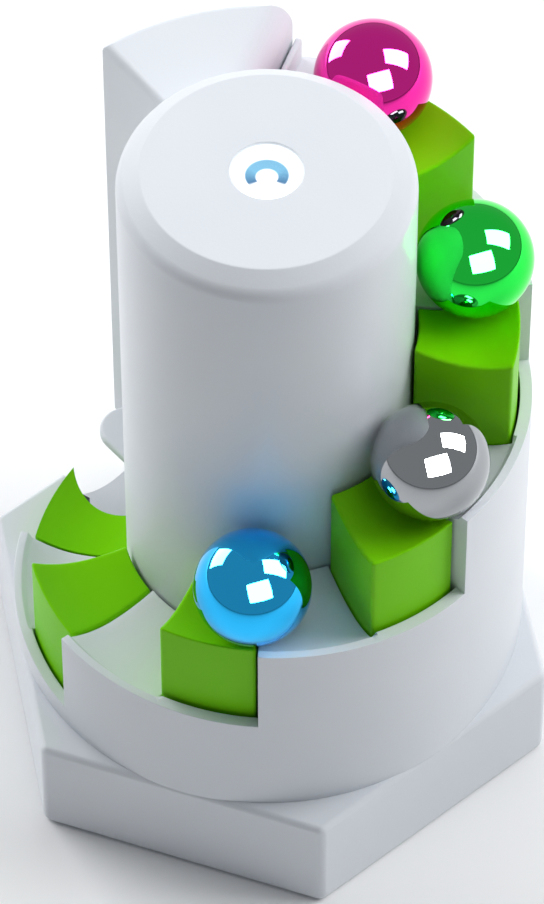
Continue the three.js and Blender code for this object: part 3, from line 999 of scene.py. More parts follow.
@dataclass(frozen=True)
class StairRule:
    """Where each fixed floor and moving block stands, and how the track is dished."""

    pitch: float = 50.0
    rise: float = 11.5 * MM
    first_riser: float = 187.5
    first_rim: float = 17.8 * MM
    fall: float = 0.025 * MM
    block_span: float = 23.5
    side_gap: float = 0.6
    well_gap: float = 0.4
    count: int = 6
    inner_radius: float = 16.0 * MM
    wall_inner: float = 27.2 * MM
    outer_radius: float = 28.5 * MM
    rim_width: float = 0.9 * MM
    trough_radius: float = 21.6 * MM
    trough_depth: float = 2.5 * MM
    outer_bend: float = 9.0 * MM
    inner_bend: float = 16.0 * MM

    def riser(self, k: int) -> float:
        """Angle of the riser at the head of floor k."""
        return self.first_riser + (k - 1) * self.pitch

    def rim(self, k: int, degrees: float) -> float:
        """Height of floor k's rim at an angle."""
        return self.first_rim + (k - 1) * self.rise - self.fall * (degrees - self.riser(k))

    def dish(self, radius: float) -> float:
        """Depth of the track at a radius, from the rim."""
        bend = self.outer_bend if radius > self.trough_radius else self.inner_bend
        return (radius - self.trough_radius) ** 2 / (2 * bend) - self.trough_depth


RULE = StairRule()


# ---------------------------------------------------------------- tile


@dataclass
class Inlet:
    """Round channel where a marble rolls in through the tile's edge."""

    angle: float = 150.0
    radius: float = 6.7 * MM
    axis_height: float = 12.9 * MM
    start: float = 12.0 * MM
    end: float = 33.0 * MM

    def cutter(self, name: str, top: float) -> bpy.types.Object:
        """Channel with straight sides above its axis.

        Args:
            name: Name of the new object.
            top: Height up to which the sides rise.

        Returns:
            The solid to cut with.
        """
        count = 48
        arc = [
            (self.radius * math.cos(a), self.axis_height + self.radius * math.sin(a))
            for a in (math.pi + math.pi * i / count for i in range(count + 1))
        ]
        outline = [*arc, (self.radius, top), (-self.radius, top)]
        loops = [[Vector((x, y, z)) for y, z in outline] for x in (self.start, self.end)]
        return spun(lofted(name, loops), self.angle)


@dataclass
class Tile:
    """Hexagonal tile with its inlet channel."""

    across_flats: float = 57 * MM
    height: float = 13.8 * MM
    wall: float = 1.3 * MM
    edge_round: float = 0.75 * MM
    cheek_from: float = 122.0
    cheek_to: float = 163.0
    cheek_bottom: float = 4.7 * MM
    inlet: Inlet = field(default_factory=Inlet)

    def hexagon(self, name: str, across: float, bottom: float, top: float) -> bpy.types.Object:
        """Hexagonal prism with a corner on +X.

        Args:
            name: Name of the new object.
            across: Distance across the flats.
            bottom: Height of the underside.
            top: Height of the top.

        Returns:
            The object.
        """
        corner_radius = across / math.sqrt(3)
        corners = [polar(corner_radius, 60 * i) for i in range(6)]
        return prism(name, [(c.x, c.y) for c in corners], bottom, top)

    def shell(self) -> bpy.types.Object:
        """The tile's moulding, open below and round the lift.

        Returns:
            The finished solid.
        """
        body = rounded(self.hexagon("tile_shell", self.across_flats, 0.0, self.height), self.edge_round, 5)
        inside_flats = self.across_flats - 2 * self.wall
        pocket = self.hexagon("pocket", inside_flats, -self.wall, self.height - self.wall)
        combined(body, pocket, BooleanKind.CUT)
        bore = rod("bore", Vector((0, 0, 8 * MM)), Vector((0, 0, 20 * MM)), RULE.wall_inner, 144)
        combined(body, bore, BooleanKind.CUT)
        cheeks = plan_solid(
            "cheeks",
            even_steps(RULE.inner_radius, 32 * MM, 4 * MM),
            even_steps(self.cheek_from, self.cheek_to, 1.0),
            lambda radius, degrees: self.height,
            lambda radius, degrees: self.cheek_bottom,
        )
        limit = self.hexagon("limit", self.across_flats - 0.2 * MM, 0.0, self.height + 1 * MM)
        combined(cheeks, limit, BooleanKind.KEEP_SHARED)
        combined(body, cheeks, BooleanKind.JOIN)
        channel = self.inlet.cutter("channel", self.height + 1 * MM)
        return smoothed(combined(body, channel, BooleanKind.CUT))

    def build(self) -> None:
        """Makes and dresses the tile."""
        dressed(self.shell(), HOUSING_WHITE, "housing", ["hex_tile"])


# ---------------------------------------------------------------- drum with its fixed floors


@dataclass
class Drum:
    """Wall round the stair with its six sloped floors."""

    foot: float = 13.6 * MM
    floor_thickness: float = 1.5 * MM
    lowest: float = 14.4 * MM
    web_span: float = 2.5
    web_drop: float = 6 * MM
    facet_pitch: float = 1.25
    edge_round: float = 0.32 * MM
    last_floor_end: float = 475.0
    overlap: float = 2.0
    exit_x: float = -6.6 * MM
    cheek_thickness: float = 0.75 * MM
    exit_radius: float = 6.6 * MM
    groove_length: float = 12 * MM
    mouth_from: float = 24.6 * MM
    mouth_drop: float = 6.2 * MM
    cheek_from: float = 20 * MM
    cheek_to: float = 27.7 * MM
    cheek_below_rim: float = 2.2 * MM
    cheek_above_rim: float = 1.3 * MM

    def radii(self) -> list[float]:
        """Grid lines across the floor, closer where the rim meets the dish.

        Returns:
            Radii from the column to the outside.
        """
        rule = RULE
        flat = rule.outer_radius - rule.rim_width
        inner = [rule.inner_radius, rule.inner_radius + 0.7 * MM]
        dish = even_steps(rule.inner_radius + 1.2 * MM, 26.6 * MM, 0.55 * MM)
        return [*inner, *dish, 27.0 * MM, rule.wall_inner, flat, rule.outer_radius]

    def section(self, k: int) -> bpy.types.Object:
        """Floor k with the wall outside it, up to the next riser.

        Args:
            k: Number of the floor, from 1.

        Returns:
            The solid.
        """
        rule = RULE
        start = rule.riser(k)
        last = k == rule.count
        floor_end = self.last_floor_end if last else rule.riser(k + 1) - rule.block_span - rule.well_gap
        wall_end = self.last_floor_end if last else rule.riser(k + 1) + self.overlap
        web_end = start + self.web_span
        angles = [start, web_end]
        angles += even_steps(web_end + self.facet_pitch, floor_end - 2.0, self.facet_pitch)
        angles.append(floor_end)
        if not last:
            angles += even_steps(floor_end, wall_end, self.facet_pitch)[1:]
        flat = rule.outer_radius - rule.rim_width
        web_bottom = rule.rim(k - 1, start) - rule.trough_depth - self.web_drop if k > 1 else self.lowest

        def top(radius: float, degrees: float) -> float:
            """Dished track inside a flat rim.

            Args:
                radius: Distance from the axis.
                degrees: Angle round the axis.

            Returns:
                Height of the top.
            """
            on_ledge = degrees > floor_end + 0.01
            level = radius > flat - 1e-9 or on_ledge
            return rule.rim(k, degrees) + (0.0 if level else rule.dish(radius))

        def bottom(radius: float, degrees: float) -> float:
            """Thin floor, with a web at its riser and the wall down to the tile.

            Args:
                radius: Distance from the axis.
                degrees: Angle round the axis.

            Returns:
                Height of the underside.
            """
            if radius > rule.wall_inner - 1e-9:
                return self.foot
            if degrees < web_end + 0.01:
                return max(web_bottom, self.lowest)
            return max(rule.rim(k, degrees) - rule.trough_depth - self.floor_thickness, self.lowest)

        def keep(radius: float, degrees: float) -> bool:
            """Everything on the floor, and only the wall beside the well."""
            return degrees < floor_end or radius > rule.wall_inner

        solid = plan_solid(f"section_{k}", self.radii(), angles, top, bottom, keep)
        return rounded(solid, self.edge_round, 3, 50.0)

    def exit_cutters(self) -> list[bpy.types.Object]:
        """What the last floor loses beside the tower: its end, a groove and the groove's mouth.

        Returns:
            The solids to cut with.
        """
        rule = RULE
        clear = 50 * MM
        top = 2 * clear
        beside = box_solid("beside", (-clear, 0, 10 * MM), (self.exit_x, clear, top))
        axis_height = rule.rim(rule.count, 450) - rule.trough_depth + self.exit_radius
        start = Vector((0, rule.trough_radius, axis_height))
        groove = rod("groove", start, start + Vector((0, self.groove_length, 0)), self.exit_radius)
        low = (self.exit_x, self.mouth_from, axis_height - self.mouth_drop)
        mouth = box_solid("mouth", low, (0.0, clear, top))
        return [beside, groove, mouth]

    def cheek(self) -> bpy.types.Object:
        """Thin fin that keeps the marble off the tower.

        Returns:
            The fin.
        """
        rim = RULE.rim(RULE.count, 460)
        low = (self.exit_x, self.cheek_from, rim - self.cheek_below_rim)
        high = (self.exit_x + self.cheek_thickness, self.cheek_to, rim + self.cheek_above_rim)
        return rounded(box_solid("cheek", low, high), 0.25 * MM)

    def build(self) -> None:
        """Makes and dresses the drum."""
        drum = self.section(1)
        drum.name = "stair_drum"
        for k in range(2, RULE.count + 1):
            combined(drum, self.section(k), BooleanKind.JOIN)
        for cutter in self.exit_cutters():
            combined(drum, cutter, BooleanKind.CUT)
        combined(drum, self.cheek(), BooleanKind.JOIN)
        dressed(smoothed(drum), HOUSING_WHITE, "housing", ["track_drum"])


# ---------------------------------------------------------------- tower


@dataclass
class Tower:
    """Tall rounded tower beside the exit, with the inlet's arch in its foot."""

    start: float = 104.0
    end: float = 147.7
    inner_radius: float = 16.1 * MM
    outer_radius: float = 28.5 * MM
    foot: float = 13.6 * MM
    height: float = 81.4 * MM
    wall: float = 1.4 * MM
    exit_x: float = -6.9 * MM
    top_round: float = 1.0 * MM
    exit_round: float = 3.4 * MM
    corner_round: float = 0.8 * MM
    lip_bottom: float = 19.9 * MM
    lip_top: float = 21.3 * MM
    inlet: Inlet = field(default_factory=Inlet)

    def loop(self, height: float, inset: float, exit_inset: float) -> list[Vector]:
        """The tower's outline at a height.

        Args:
            height: Z of the outline.
            inset: How far the round faces and the far side stand back.
            exit_inset: How far the face beside the exit stands back.

        Returns:
            The outline's points, counter-clockwise seen from above.
        """
        inner = self.inner_radius + inset
        outer = self.outer_radius - inset
        plane = self.exit_x - exit_inset
        far = self.end - math.degrees(inset / outer)
        outer_start = math.degrees(math.acos(plane / outer))
        inner_start = math.degrees(math.acos(plane / inner))
        count = 24
        shares = [i / count for i in range(count + 1)]
        outside = [polar(outer, outer_start + (far - outer_start) * share, height) for share in shares]
        inside = [polar(inner, far + (inner_start - far) * share, height) for share in shares]
        return outside + inside

    def shell(self) -> bpy.types.Object:
        """Solid tower with its rounded top; build cuts the hollow.

        Returns:
            The finished solid.
        """
        loops = [self.loop(self.foot, 0.0, 0.0)]
        steps = 14
        for i in range(steps + 1):
            turn = math.pi / 2 * i / steps
            height = self.height - self.exit_round * (1 - math.sin(turn))
            exit_inset = self.exit_round * (1 - math.cos(turn))
            above = max(0.0, height - (self.height - self.top_round))
            share = min(1.0, above / self.top_round)
            inset = self.top_round * (1 - math.sqrt(max(0.0, 1 - share * share)))
            loops.append(self.loop(height, inset, exit_inset))
        body = lofted("exit_tower_shell", loops)
        return rounded(body, self.corner_round, 4, 60.0)

    def hollow(self) -> bpy.types.Object:
        """Space inside the tower, open below.

        Returns:
            The solid to cut with.
        """
        inner = Tower(
            end=self.end - 3.5,
            inner_radius=self.inner_radius + self.wall,
            outer_radius=self.outer_radius - self.wall,
            exit_x=self.exit_x - self.wall,
        )
        low = inner.loop(10 * MM, 0.0, 0.0)
        high = inner.loop(self.height - 5.5 * MM, 0.0, 0.0)
        return lofted("tower_hollow", [low, high])

    def lip(self) -> bpy.types.Object:
        """Rounded roof over the inlet's mouth.

        Returns:
            The roof.
        """
        count = 16
        nose = [
            (24.3 * MM + 3 * MM * math.cos(a), 0.5 * MM + 3 * MM * math.sin(a))
            for a in (-math.pi / 2 + math.pi * i / count for i in range(count + 1))
        ]
        outline = [(16.3 * MM, -6 * MM), (24.3 * MM, -6 * MM), *nose, (16.3 * MM, 3.5 * MM)]
        slab = prism("inlet_lip", outline, self.lip_bottom, self.lip_top)
        return spun(rounded(slab, 0.5 * MM, 4), self.inlet.angle)

    def build(self) -> None:
        """Makes and dresses the tower."""
        tower = self.shell()
        combined(tower, self.hollow(), BooleanKind.CUT)
        bore = spun(
            rod(
                "arch",
                Vector((self.inlet.start, 0, self.inlet.axis_height)),
                Vector((self.inlet.end, 0, self.inlet.axis_height)),
                self.inlet.radius,
            ),
            self.inlet.angle,
        )
        combined(tower, bore, BooleanKind.CUT)
        combined(tower, self.lip(), BooleanKind.JOIN)
        dressed(smoothed(tower), HOUSING_WHITE, "housing", ["exit_tower"])


# ---------------------------------------------------------------- column and button


@dataclass
class Column:
    """Round column with its lit button."""

    radius: float = 15.7 * MM
    bore: float = 14.3 * MM
    bottom: float = 1.5 * MM
    height: float = 87 * MM
    top_radius: float = 13.2 * MM
    shoulder_slope: float = 34.0
    shoulder_round: float = 2.0 * MM
    roof: float = 1.6 * MM
    hole: float = 3.72 * MM
    slot_half: float = 3.0 * MM
    slot_top: float = 14.7 * MM
    slot_angles: tuple[float, float] = (225.0, 45.0)

    def shoulder(self) -> list[tuple[float, float]]:
        """Profile from the side to the flat top: an arc, then a straight cone.

        Returns:
            (radius, height) points.
        """
        turn = math.radians(90 - self.shoulder_slope)
        arc_in = self.shoulder_round * (1 - math.cos(turn))
        arc_up = self.shoulder_round * math.sin(turn)
        cone_in = self.radius - arc_in - self.top_radius
        cone_up = cone_in * math.tan(math.radians(self.shoulder_slope))
        base = self.height - cone_up - arc_up
        steps = 10
        points = [
            (
                self.radius - self.shoulder_round * (1 - math.cos(turn * i / steps)),
                base + self.shoulder_round * math.sin(turn * i / steps),
            )
            for i in range(steps + 1)
        ]
        edge = 0.12 * MM
        rise = math.tan(math.radians(self.shoulder_slope))
        return [
            *points,
            (self.top_radius + edge, self.height - edge * rise),
            (self.top_radius - edge, self.height),
        ]

    def shell(self) -> bpy.types.Object:
        """The column's moulding with slots for the lift's arms.

        Returns:
            The finished solid.
        """
        soft = 0.2 * MM
        inside_top = self.height - self.roof
        profile = [
            (self.bore, self.bottom),
            (self.radius, self.bottom),
            *self.shoulder(),
            (self.hole + soft, self.height),
            (self.hole, self.height - soft),
            (self.hole, inside_top),
            (self.bore, inside_top),
        ]
        column = turned("round_column", profile, 144)
        for angle in self.slot_angles:
            low = (12 * MM, -self.slot_half, 0.0)
            high = (17 * MM, self.slot_half, self.slot_top)
            combined(column, spun(box_solid("slot", low, high), angle), BooleanKind.CUT)
        return smoothed(column, 24.0)

    def build(self) -> None:
        """Makes and dresses the column."""
        dressed(self.shell(), HOUSING_WHITE, "housing", ["column_shell"])


@dataclass
class Button:
    """Dished cap in the column's top, with a flange below."""

    radius: float = 3.6 * MM
    bottom: float = 83.4 * MM
    top: float = 87 * MM
    flange_radius: float = 5.0 * MM
    flange_low: float = 84.2 * MM
    flange_high: float = 85.1 * MM
    edge: float = 0.25 * MM
    dish_radius: float = 2.9 * MM
    dish_depth: float = 0.5 * MM

    def cap(self) -> bpy.types.Object:
        """The cap, turned.

        Returns:
            The finished cap.
        """
        steps = 8
        dish = [
            (
                self.dish_radius * (1 - i / steps),
                self.top - self.dish_depth * math.sin(math.pi / 2 * i / steps),
            )
            for i in range(steps + 1)
        ]
        profile = [
            (0.0, self.bottom),
            (self.radius, self.bottom),
            (self.radius, self.flange_low),
            (self.flange_radius, self.flange_low),
            (self.flange_radius, self.flange_high),
            (self.radius, self.flange_high),
            (self.radius, self.top - self.edge),
            (self.radius - 0.3 * self.edge, self.top - 0.3 * self.edge),
            (self.radius - self.edge, self.top),
            *dish,
        ]
        return smoothed(turned("lit_button", profile, 96))

    def build(self) -> None:
        """Makes and dresses the button."""
        dressed(self.cap(), BUTTON_WHITE, "button", ["button_cap"])


# ---------------------------------------------------------------- step blocks by Geometry Nodes


class GeometryTree:
    """A small builder for a Geometry Nodes tree with named inputs."""

    def __init__(self, name: str, inputs: Sequence[tuple[str, str, float | int]]) -> None:
        """Starts the tree.

        Args:
            name: Name of the tree.
            inputs: Names, socket types and defaults of the inputs.
        """
        self.tree = bpy.data.node_groups.new(name, "GeometryNodeTree")
        self.tree.interface.new_socket("Geometry", in_out="OUTPUT", socket_type="NodeSocketGeometry")
        self.sockets: dict[str, str] = {}
        for label, kind, default in inputs:
            socket = self.tree.interface.new_socket(label, in_out="INPUT", socket_type=kind)
            if kind != "NodeSocketMaterial":
                socket.default_value = default
            self.sockets[label] = socket.identifier
        self.start = self.tree.nodes.new("NodeGroupInput")
        self.end = self.tree.nodes.new("NodeGroupOutput")

    def value(self, label: str) -> bpy.types.NodeSocket:
        """Socket of a named input."""
        return self.start.outputs[label]

    def node(self, kind: str, **links: bpy.types.NodeSocket | float | int | Vector) -> bpy.types.Node:
        """Places a node and fills its inputs by name, with underscores for spaces.

        Args:
            kind: The node's type.
            links: Sockets to link or plain values to set.

        Returns:
            The node.
        """
        made = self.tree.nodes.new(kind)
        for label, given in links.items():
            socket = made.inputs[label.replace("_", " ")]
            if isinstance(given, bpy.types.NodeSocket):
                self.tree.links.new(given, socket)
            else:
                socket.default_value = given
        return made

    def sum(
        self,
        operation: str,
        first: bpy.types.NodeSocket | float,
        second: bpy.types.NodeSocket | float = 0.0,
        third: bpy.types.NodeSocket | float = 0.0,
    ) -> bpy.types.NodeSocket:
        """Math node, as in a shader."""
        return math_node(self.tree, operation, first, second, third)

    def close(self, geometry: bpy.types.NodeSocket) -> None:
        """Ends the tree in Realize Instances and Set Material.

        Args:
            geometry: Socket of the finished geometry.
        """
        real = self.node("GeometryNodeRealizeInstances", Geometry=geometry)
        finish = self.node(
            "GeometryNodeSetMaterial", Geometry=real.outputs["Geometry"], Material=self.value("Material")
        )
        self.tree.links.new(finish.outputs["Geometry"], self.end.inputs["Geometry"])

    def grown(self, name: str, values: dict[str, object]) -> bpy.types.Object:
        """Runs the tree once and keeps its result as a plain mesh.

        Args:
            name: Name of the new object.
            values: Values of the inputs by name.

        Returns:
            The object, with no modifier.
        """
        piece = placed(name, bpy.data.meshes.new(name))
        modifier = piece.modifiers.new("growth", "NODES")
        modifier.node_group = self.tree
        for label, given in values.items():
            modifier[self.sockets[label]] = given
        return applied(piece)


def arc_block_tree() -> GeometryTree:
    """Tree for a block of the stair: a cube's grid, bent round the axis and dished on top.

    Returns:
        The finished tree.
    """
    numbers = [
        "Inner Radius",
        "Outer Radius",
        "Start Angle",
        "End Angle",
        "Base Height",
        "Rim Height",
        "Fall",
        "Trough Radius",
        "Trough Depth",
        "Outer Bend",
        "Inner Bend",
    ]
    inputs = [(label, "NodeSocketFloat", 0.0) for label in numbers]
    inputs += [("Rows", "NodeSocketInt", 14), ("Columns", "NodeSocketInt", 14)]
    inputs.append(("Material", "NodeSocketMaterial", 0))
    tree = GeometryTree("arc_block", inputs)
    grid = tree.node(
        "GeometryNodeMeshCube",
        Size=Vector((1, 1, 1)),
        Vertices_X=tree.value("Rows"),
        Vertices_Y=tree.value("Columns"),
        Vertices_Z=2,
    )
    place = tree.node("GeometryNodeInputPosition")
    split = tree.node("ShaderNodeSeparateXYZ", Vector=place.outputs["Position"])
    across, along, up = (tree.sum("ADD", split.outputs[axis], 0.5) for axis in "XYZ")
    width = tree.sum("SUBTRACT", tree.value("Outer Radius"), tree.value("Inner Radius"))
    radius = tree.sum("MULTIPLY_ADD", across, width, tree.value("Inner Radius"))
    sweep = tree.sum("SUBTRACT", tree.value("End Angle"), tree.value("Start Angle"))
    travelled = tree.sum("MULTIPLY", along, sweep)
    angle = tree.sum("ADD", tree.value("Start Angle"), travelled)
    off = tree.sum("SUBTRACT", radius, tree.value("Trough Radius"))
    outside = tree.sum("GREATER_THAN", off, 0.0)
    bend_gap = tree.sum("SUBTRACT", tree.value("Outer Bend"), tree.value("Inner Bend"))
    bend = tree.sum("MULTIPLY_ADD", outside, bend_gap, tree.value("Inner Bend"))
    curve = tree.sum("DIVIDE", tree.sum("MULTIPLY", off, off), tree.sum("MULTIPLY", bend, 2.0))
    drop = tree.sum("MULTIPLY", travelled, tree.value("Fall"))
    rim = tree.sum("SUBTRACT", tree.value("Rim Height"), drop)
    top = tree.sum("ADD", tree.sum("SUBTRACT", curve, tree.value("Trough Depth")), rim)
    tall = tree.sum("SUBTRACT", top, tree.value("Base Height"))
    height = tree.sum("MULTIPLY_ADD", up, tall, tree.value("Base Height"))
    x = tree.sum("MULTIPLY", radius, tree.sum("COSINE", angle))
    y = tree.sum("MULTIPLY", radius, tree.sum("SINE", angle))
    spot = tree.node("ShaderNodeCombineXYZ", X=x, Y=y, Z=height)
    bent = tree.node(
        "GeometryNodeSetPosition", Geometry=grid.outputs["Mesh"], Position=spot.outputs["Vector"]
    )
    tree.close(bent.outputs["Geometry"])
    return tree


@dataclass
class StepBlocks:
    """The six blocks that the lift raises."""

    inner_radius: float = 16.1 * MM
    outer_radius: float = 26.9 * MM
    base: float = 14.4 * MM
    edge_round: float = 0.38 * MM
    scoop_angle: float = 153.5
    scoop_circle: float = 22.35 * MM
    scoop_radius: float = 6.65 * MM

    def block(self, tree: GeometryTree, k: int) -> bpy.types.Object:
        """Block below riser k.

        Args:
            tree: The tree that grows a block.
            k: Number of the block, from 1.

        Returns:
            The finished solid.
        """
        rule = RULE
        start = rule.riser(k) - rule.block_span
        end = rule.riser(k) - rule.side_gap
        values = {
            "Inner Radius": self.inner_radius,
            "Outer Radius": self.outer_radius,
            "Start Angle": math.radians(start),
            "End Angle": math.radians(end),
            "Base Height": self.base,
            "Rim Height": rule.rim(k, start),
            "Fall": math.degrees(rule.fall),
            "Trough Radius": rule.trough_radius,
            "Trough Depth": rule.trough_depth,
            "Outer Bend": rule.outer_bend,
            "Inner Bend": rule.inner_bend,
            "Rows": 15,
            "Columns": 13,
            "Material": STEP_GREEN.material(),
        }
        piece = tree.grown(f"step_block_{k}", values)
        if k == 1:
            foot = polar(self.scoop_circle, self.scoop_angle, 0.0)
            scoop = rod("scoop", foot, foot + Vector((0, 0, 40 * MM)), self.scoop_radius)
            combined(piece, scoop, BooleanKind.CUT)
        return smoothed(rounded(piece, self.edge_round, 3, 50.0))

    def build(self) -> None:
        """Grows and dresses the six blocks."""
        tree = arc_block_tree()
        for k in range(1, RULE.count + 1):
            dressed(self.block(tree, k), STEP_GREEN, "lift", [f"step_{k}"])


# ---------------------------------------------------------------- screws by Geometry Nodes


def screw_circle_tree() -> GeometryTree:
    """Tree for cross-recess screws on a circle, heads down.

    Returns:
        The finished tree.
    """
    numbers = [
        ("Circle Radius", 28.6 * MM),
        ("Phase", 0.0),
        ("Head Radius", 1.4 * MM),
        ("Head Bottom", 0.05 * MM),
        ("Head Height", 0.45 * MM),
        ("Shank Radius", 0.7 * MM),
        ("Shank Length", 7.4 * MM),
        ("Recess Width", 0.42 * MM),
        ("Recess Reach", 1.7 * MM),
    ]
    inputs = [(label, "NodeSocketFloat", default) for label, default in numbers]
    inputs += [("Count", "NodeSocketInt", 3), ("Material", "NodeSocketMaterial", 0)]
    tree = GeometryTree("screw_circle", inputs)

    def at_height(mesh: bpy.types.NodeSocket, height: bpy.types.NodeSocket) -> bpy.types.NodeSocket:
        """Lifts a mesh to a height.

        Args:
            mesh: Socket of the mesh.
            height: Socket of the height.

        Returns:
            Socket of the lifted mesh.
        """
        spot = tree.node("ShaderNodeCombineXYZ", Z=height)
        moved = tree.node("GeometryNodeTransform", Geometry=mesh, Translation=spot.outputs["Vector"])
        return moved.outputs["Geometry"]

    head = tree.node(
        "GeometryNodeMeshCylinder",
        Vertices=40,
        Radius=tree.value("Head Radius"),
        Depth=tree.value("Head Height"),
    )
    head_middle = tree.sum("MULTIPLY_ADD", tree.value("Head Height"), 0.5, tree.value("Head Bottom"))
    shank = tree.node(
        "GeometryNodeMeshCylinder",
        Vertices=24,
        Radius=tree.value("Shank Radius"),
        Depth=tree.value("Shank Length"),
    )
    shank_half = tree.sum("MULTIPLY", tree.value("Shank Length"), 0.5)
    shank_middle = tree.sum("ADD", head_middle, shank_half)
    bars = []
    for long_axis, short_axis in (("X", "Y"), ("Y", "X")):
        size = tree.node("ShaderNodeCombineXYZ", Z=tree.value("Head Height"))
        tree.tree.links.new(tree.value("Recess Reach"), size.inputs[long_axis])
        tree.tree.links.new(tree.value("Recess Width"), size.inputs[short_axis])
        bars.append(tree.node("GeometryNodeMeshCube", Size=size.outputs["Vector"]).outputs["Mesh"])
    solid = tree.tree.nodes.new("GeometryNodeMeshBoolean")
    solid.operation = "UNION"
    tree.tree.links.new(at_height(head.outputs["Mesh"], head_middle), solid.inputs["Mesh 2"])
    tree.tree.links.new(at_height(shank.outputs["Mesh"], shank_middle), solid.inputs["Mesh 2"])
    cross = tree.tree.nodes.new("GeometryNodeMeshBoolean")
    cross.operation = "DIFFERENCE"
    tree.tree.links.new(solid.outputs["Mesh"], cross.inputs["Mesh 1"])
    for bar in bars:
        tree.tree.links.new(at_height(bar, tree.value("Head Bottom")), cross.inputs["Mesh 2"])
    index = tree.node("GeometryNodeInputIndex").outputs["Index"]
    share = tree.sum("DIVIDE", index, tree.value("Count"))
    angle = tree.sum("MULTIPLY_ADD", share, math.tau, tree.value("Phase"))
    east = tree.sum("MULTIPLY", tree.sum("COSINE", angle, 0.0), tree.value("Circle Radius"))
    north = tree.sum("MULTIPLY", tree.sum("SINE", angle, 0.0), tree.value("Circle Radius"))
    spot = tree.node("ShaderNodeCombineXYZ", X=east, Y=north)
    points = tree.node("GeometryNodePoints", Count=tree.value("Count"), Position=spot.outputs["Vector"])
    spread = tree.node(
        "GeometryNodeInstanceOnPoints", Points=points.outputs["Geometry"], Instance=cross.outputs["Mesh"]
    )
    tree.close(spread.outputs["Instances"])
    return tree


@dataclass
class Underside:
    """Base cover's screws, which close the tile and hold the column."""

    cover_circle: float = 28.6 * MM
    column_circle: float = 12.9 * MM
    column_phase: float = 135.0

    def build(self) -> None:
        """Grows and dresses both sets of screws."""
        tree = screw_circle_tree()
        for name, circle, count, phase in (
            ("cover_screw", self.cover_circle, 3, 0.0),
            ("column_screw", self.column_circle, 2, self.column_phase),
        ):
            values = {
                "Circle Radius": circle,
                "Count": count,
                "Phase": math.radians(phase),
                "Material": SCREW_STEEL.material(),
            }
            screws = smoothed(tree.grown(f"{name}s", values))
            nodes = [f"{name}_{i + 1}" for i in range(count)]
            dressed(screws, SCREW_STEEL, "housing", nodes)


# ---------------------------------------------------------------- marbles and inner parts


def mirror_group() -> bpy.types.Collection:
    """The polished pieces, which alone are lit by the cards."""
    return bpy.data.collections.get("mirrors") or bpy.data.collections.new("mirrors")


class MarbleColour(Enum):
    """The four marbles, lowest first."""

    BLUE = "blue"
    SILVER = "silver"
    GREEN = "green"
    PINK = "pink"


@dataclass
class Marbles:
    """Polished half-inch balls on the stair."""

    radius: float = 6.35 * MM

    def build(self) -> None:
        """Makes and dresses the four marbles, each where its CAD ball is."""
        finishes = {
            MarbleColour.BLUE: MARBLE_BLUE,
            MarbleColour.SILVER: MARBLE_SILVER,
            MarbleColour.GREEN: MARBLE_GREEN,
            MarbleColour.PINK: MARBLE_PINK,
        }
        for colour, finish in finishes.items():
            node = f"marble_{colour.value}"
            low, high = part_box(node)
            middle = (low + high) / 2
            shape = bmesh.new()
            bmesh.ops.create_icosphere(
                shape, subdivisions=6, radius=self.radius, matrix=Matrix.Translation(middle)
            )
            ball = from_bmesh(f"{colour.value}_marble", shape)
            ball.data.shade_smooth()
            mirror_group().objects.link(ball)
            dressed(ball, finish, node, [node])


@dataclass
class InnerParts:
    """CAD nodes that keep their shape and get a finish."""

    finishes: dict[str, Finish] = field(
        default_factory=lambda: {
            "housing": HOUSING_WHITE,
            "step_green": STEP_GREEN,
            "cover_grey": COVER_GREY,
            "steel": SCREW_STEEL,
            "gear_ivory": GEAR_IVORY,
            "cam_dark": CAM_DARK,
            "motor_can": MOTOR_CAN,
            "board_green": BOARD_GREEN,
            "dark_plastic": DARK_PLASTIC,
            "cell_wrap": CELL_WRAP,
            "contact_metal": CONTACT_METAL,
            "led_lens": LED_LENS,
            "button_white": BUTTON_WHITE,
        }
    )

    def build(self, frame: dict) -> None:
        """Dresses every CAD node that is still shown.

        Args:
            frame: The loaded frame.
        """
        slots = {row["node"]: row["material_slot"] for row in frame["record"]["subparts"]}
        for name, node in frame["nodes"].items():
            finish = self.finishes.get(slots.get(name, ""))
            if node.hide_render or finish is None:
                continue
            node.data.materials.clear()
            node.data.materials.append(finish.material())
            LOG.info("%s keeps its CAD shape in %s", name, finish.name)


# ---------------------------------------------------------------- studio


@dataclass(frozen=True)
class Softbox:
    """A rectangular area light that faces the object.

    A softbox lights the plastic and a card shows only in the polished marbles.
    """

    name: str
    direction: tuple[float, float, float]
    distance: float
    width: float
    height: float
    radiance: float
    tint: Tone = (1.0, 1.0, 1.0)
    for_mirrors: bool = False

    def build(self, target: Vector) -> None:
        """Makes the light.

        Args:
            target: The point that it faces.
        """
        data = bpy.data.lights.new(self.name, "AREA")
        data.shape = "RECTANGLE"
        data.size = self.width
        data.size_y = self.height
        data.color = self.tint
        data.energy = self.radiance * self.width * self.height * math.pi
        lamp = bpy.data.objects.new(self.name, data)
        back = Vector(self.direction).normalized()
        lamp.location = target + back * self.distance
        lamp.rotation_mode = "QUATERNION"
        lamp.rotation_quaternion = back.to_track_quat("Z", "Y")
        lamp.visible_camera = False
        lamp.visible_diffuse = not self.for_mirrors
        lamp.visible_glossy = self.for_mirrors
        if self.for_mirrors:
            lamp.light_linking.receiver_collection = mirror_group()
            data.cycles.max_bounces = 0
        bpy.context.scene.collection.objects.link(lamp)


